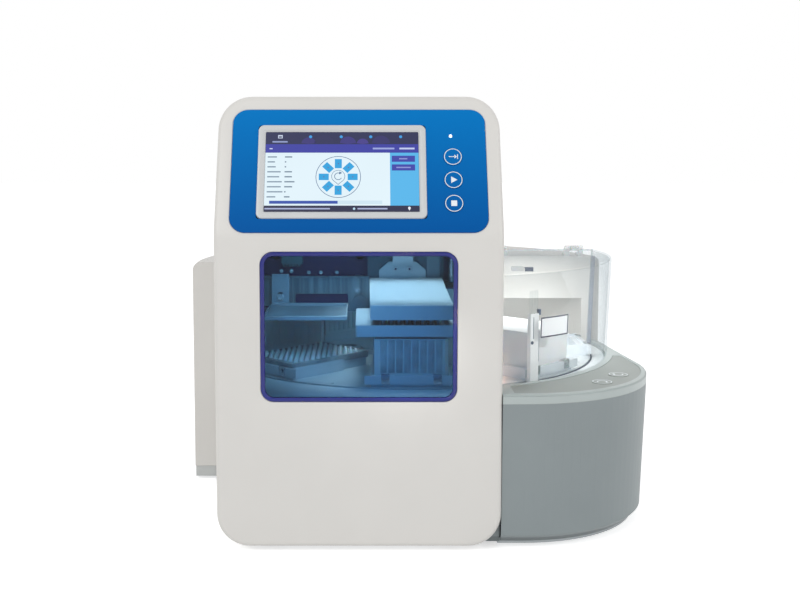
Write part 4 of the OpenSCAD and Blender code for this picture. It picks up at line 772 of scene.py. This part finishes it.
# The rolled hem is real, but drawn in the brighter screw steel: a painted highlight along the tray's edge.
hem = bmesh.new()
bridge(hem, [[at(-64 + x, 177 + y, z) for x, y in rounded(98 + 2 * o, 112 + 2 * o, 1.5, 4)]
             for o, z in ((0.1, 240.7), (0.5, 241.2), (0.1, 241.9), (-1.3, 241.9), (-1.4, 240.9))], True)
finish_mesh("tray_hem", hem, bright_steel_and_highlight, "drip_tray")

# ---- Rear fittings ----
# Mains inlet, rocker switch and fan are black mouldings. The clear cover's hinge and catch
# are moulded in frosted polycarbonate.
black_pa = moulded("black_glass_filled_nylon", "#191a1c", "#222426", 0.4, 0.03, {"Roughness": 0.5})
paint(black_pa, "power_inlet", "power_switch", "cooling_fan", "fan_rotor")

paint(milky("frosted_polycarbonate", "#f2f5f6", 0.5), "cover_hinge", "cover_catch")

# ---- Clear cover ----
# Acrylic sheet, 3 mm, formed round the bay with a slight draft and a small roll along its
# upper edge, and hinged on the rear housing. Only its polished edges show strongly.
clear_acrylic = tinted_sheet("clear_bent_acrylic", "#fbfcfc", "#e2e6e8", 0.02, 0.2)
FOOT_R, DRAFT = 265.5, 4.5 / 131  # outer radius at the foot, and how much it grows with height
TOWER_U, HOUSING_V = 94, 59  # how far the tower's side and the housing's front are from the axis
FOOT_Z = 169  # height of the cover's foot


def clear_cover_mesh():
    """Outer face of the cover: round wall with its draft, rolled edge and flat top."""
    sheet = bmesh.new()
    top, roll = 300, 2
    profile = [(0, FOOT_Z), (0, 230), (0, top - roll)]
    profile += [(roll * (1 - math.cos(a)), top - roll * (1 - math.sin(a))) for a in
                [math.radians(30 * k) for k in range(1, 4)]]
    steps, rows = 48, []
    for inset, z in profile:
        row, r = [], FOOT_R + DRAFT * (z - FOOT_Z) - inset
        start, end = -math.acos(TOWER_U / r), math.asin(HOUSING_V / r)
        for i in range(steps + 1):
            a = start + (end - start) * i / steps
            x, y = r * math.cos(a), r * math.sin(a)
            row.append(sheet.verts.new(at(AXIS_X + max(x, TOWER_U), AXIS_Y + min(y, HOUSING_V), z)))
        rows.append(row)
    for low, high in zip(rows, rows[1:]):
        for i in range(steps):
            sheet.faces.new((low[i], low[i + 1], high[i + 1], high[i]))
    corner = sheet.verts.new(at(AXIS_X + TOWER_U, AXIS_Y + HOUSING_V, top))
    for i in range(steps):
        sheet.faces.new((rows[-1][i], rows[-1][i + 1], corner))
    return sheet


cover = finish_mesh("loading_cover", clear_cover_mesh(), clear_acrylic, "cover",
                    ["clear_cover"], 60)
thick = cover.modifiers.new("sheet_thickness", "SOLIDIFY")
thick.thickness = 3 * MM
thick.offset = -1
thick.material_offset_rim = 1
cover.data.materials.append(milky("polished_sheet_edge", "#b5c2c8", 0.6))

# A clear guide of four rods on a web stands in the sensor post's top.
guide = bmesh.new()
for u in (-5.4, -2, 2, 5.4):
    prism(guide, [[on_post(u + a * w, b, z) for a, b in rounded(1.5, 1.5, 0.5, 3)]
                  for z, w in ((240, 1), (276, 1), (277, 0.8))])
prism(guide, [[on_post(u, v + 1, z) for u, v in rounded(12, 0.8, 0.3, 3)] for z in (240, 276)])
finish_mesh("post_guide", guide, clear_acrylic, "machine")
# The catch's hook hangs from the underside of the cover's top, towards the front.
catch = bmesh.new()
hook = [(-3.5, 0), (3.5, 0), (3.5, -1.6), (0.8, -2.2), (0.6, -4.4), (-2.6, -4.8), (-3.5, -3.8)]
loops = bridge(catch, [[at(203 + x, 149 + y, 296.8 + z) for y, z in hook] for x in (-5, 5)])
fill(catch, [loops[0]])
fill(catch, [loops[1]])
finish_mesh("cover_catch_hook", catch, dark_nylon_and_shade, "cover")

# A bare white label with a thin dark border is stuck inside the cover, and a smoked seal
# lines its rear edge. Both follow the curve of the sheet.


def curved_patch(mesh_data, r0, r1, a0, a1, z0, z1, draft=DRAFT, steps=8):
    """Solid strip on the cover's curve between two radii at its foot, angles and heights."""
    rings = []
    for k in range(steps + 1):
        a = math.radians(a0 + (a1 - a0) * k / steps)
        corners = [(r + draft * (z - FOOT_Z), z) for r, z in ((r0, z0), (r1, z0), (r1, z1), (r0, z1))]
        rings.append([at(AXIS_X + r * math.cos(a), AXIS_Y + r * math.sin(a), z) for r, z in corners])
    prism(mesh_data, rings)


label = bmesh.new()
curved_patch(label, 262.0, 262.3, -56, -45.6, 222.7, 246.5)
label_film = moulded("matt_white_vinyl", "#f3f4f6", "#fafbfc", 0.4, 0.005, {"Roughness": 0.5})
finish_mesh("blank_label", label, label_film, "cover")
border = bmesh.new()
for a0, a1, z0, z1 in ((-55.9, -45.7, 222.8, 224.3), (-55.9, -45.7, 244.9, 246.4),
                       (-55.9, -55.56, 224.3, 244.9), (-46.04, -45.7, 224.3, 244.9)):
    curved_patch(border, 262.3, 262.4, a0, a1, z0, z1)
border_ink = moulded("dark_screen_ink", "#141a3a", "#1c2346", 0.3, 0.003, {"Roughness": 0.5})
finish_mesh("label_border", border, border_ink, "cover")
seal = bmesh.new()
curved_patch(seal, 261.8, 262.4, 9.2, 11.9, 170.5, 291)
smoked_seal = moulded("smoked_silicone_seal", "#8f9bad", "#9aa6b6", 0.6, 0.01,
                      {"Roughness": 0.35, "Alpha": 0.85})
finish_mesh("cover_seal", seal, smoked_seal, "cover")

# A thin dark navy ring in the deck round the carousel is painted shade in the gap between disc and deck.
gap_shade_ring = bmesh.new()
curved_patch(gap_shade_ring, 245.2, 247.2, -72, 12.5, 168.55, 169, 0, 48)
gap_shade_paint = moulded("navy_painted_gap_shade", "#26334d", "#2f3d58", 0.6, 0.01, {"Roughness": 0.6})
finish_mesh("deck_gap_shade", gap_shade_ring, gap_shade_paint, "machine")

# ---- Touch deck icons ----
# Thin printed rings with a turning arrow, on top of the two touch keys.
for body, x, y, turn in (("deck_key_left", 276.8, 71.6, 0), ("deck_key_right", 304.3, 112.4, 180)):
    icon = Drawing(lambda a, b, h: at(x + a, y + b, 174.1 + h))
    icon.arc(0, 0, 11.2, 1.1, 0, 360, -0.02, 0.07, INK, 64)
    icon.arc(0, 0, 6, 1.5, turn - 20, turn + 200, -0.02, 0.07, INK, 30)
    c, d = math.cos(math.radians(turn - 20)), math.sin(math.radians(turn - 20))
    icon.shape([(3.2 * c, 3.2 * d), (8 * c, 8 * d), (5.6 * c + 3.8 * d, 5.6 * d - 3.8 * c)],
               -0.02, 0.07, INK)
    finish_mesh(body + "_print", icon.mesh, white_ink, body)

# ---- Studio ----
# Plain pale floor and white surroundings, two large soft lamps and seven small ones, and the
# camera. Six small lamps stand inside the machine, so that its dark parts can be seen.


def seen_directly(tree):
    """1 for a ray from the camera, a mirror or a clear sheet, and 0 for any other."""
    ray = add(tree, "LightPath", {})
    seen = add(tree, "Math", {"operation": "MAXIMUM"}, [(0, ray, "Is Camera Ray"), (1, ray, "Is Glossy Ray")])
    return add(tree, "Math", {"operation": "MAXIMUM"}, [(0, seen, "Value"), (1, ray, "Is Transmission Ray")])


floor_mesh = bmesh.new()
bmesh.ops.create_grid(floor_mesh, x_segments=1, y_segments=1, size=12)
mesh = bpy.data.meshes.new("floor")
floor_mesh.to_mesh(mesh)
floor_mesh.free()
floor = bpy.data.objects.new("floor", mesh)
bpy.context.scene.collection.objects.link(floor)
floor_paint, tree, _ = new_material("white_studio_floor")
seen = seen_directly(tree)
matt = add(tree, "BsdfDiffuse", {"Color": linear("#f4f4f4")})
glow = add(tree, "Emission", {"Color": linear("#ffffff"), "Strength": 0.6})
lifted = add(tree, "AddShader", {}, [(0, matt, "BSDF"), (1, glow, "Emission")])
shown = add(tree, "MixShader", {}, [(0, seen, "Value"), (1, matt, "BSDF"), (2, lifted, "Shader")])
add(tree, "OutputMaterial", {}, [("Surface", shown, "Shader")])
mesh.materials.append(floor_paint)

world = bpy.data.worlds.new("studio")
bpy.context.scene.world = world
world.use_nodes = True
tree = world.node_tree
tree.nodes.clear()
seen = seen_directly(tree)
level = add(tree, "MapRange", {"To Min": 0.62, "To Max": 1.0}, [("Value", seen, "Value")])
sky = add(tree, "Background", {"Color": linear("#ffffff")}, [("Strength", level, "Result")])
add(tree, "OutputWorld", {}, [("Surface", sky, "Background")])


def lamp(name, place, target, size, power, colour="#ffffff", spread=180, seen=True):
    """Square lamp, size in metres and power in watts, hidden from the camera."""
    light = bpy.data.lights.new(name, "AREA")
    light.shape, light.size, light.energy = "SQUARE", size, power
    light.color, light.spread = linear(colour)[:3], math.radians(spread)
    holder = bpy.data.objects.new(name, light)
    holder.location = place
    holder.visible_camera, holder.visible_glossy = False, seen
    holder.rotation_euler = (Vector(target) - Vector(place)).to_track_quat("-Z", "Y").to_euler()
    bpy.context.scene.collection.objects.link(holder)


lamp("key_light", (-1.6, -2.2, 2.2), (0, 0, 0.25), 1.6, 26)
lamp("fill_light", (2.0, -1.6, 1.4), (0, 0, 0.25), 1.6, 12)
lamp("head_light", at(58, 150, 341), at(58, 150, 262), 0.15, 0.6, "#ffcbb0", 62, False)
lamp("front_light", at(20, 16, 268), at(40, 90, 210), 0.14, 0.088, seen=False)
lamp("tray_light", at(-50, 70, 340), at(-45, 175, 235), 0.12, 0.095, spread=90, seen=False)
lamp("bay_light", at(AXIS_X + 165, AXIS_Y - 70, 276),
     at(AXIS_X + 160, AXIS_Y - 60, 170), 0.12, 0.19, seen=False)
lamp("wall_light", at(AXIS_X + 185, AXIS_Y - 120, 272),
     at(AXIS_X + 150, AXIS_Y + 60, 262), 0.04, 0.1, seen=False)
lamp("housing_light", at(AXIS_X + 80, AXIS_Y + 140, 272),
     at(AXIS_X + 90, AXIS_Y + 125, 180), 0.1, 0.17, seen=False)
lamp("loading_light", (0.75, -0.75, 0.75), (0.13, -0.11, 0.22), 0.1, 0.034, spread=14)

camera = bpy.data.cameras.new("camera")
camera.sensor_width = 36
camera.lens = 50.39
camera.shift_x, camera.shift_y = 0.0455, -0.0595
viewer = bpy.data.objects.new("camera", camera)
viewer.location = at(5, -1184.8, 440.5)
viewer.rotation_euler = (math.radians(90 - 5.39), 0, 0)
bpy.context.scene.collection.objects.link(viewer)
bpy.context.scene.camera = viewer
bpy.context.scene.view_settings.view_transform = "Standard"
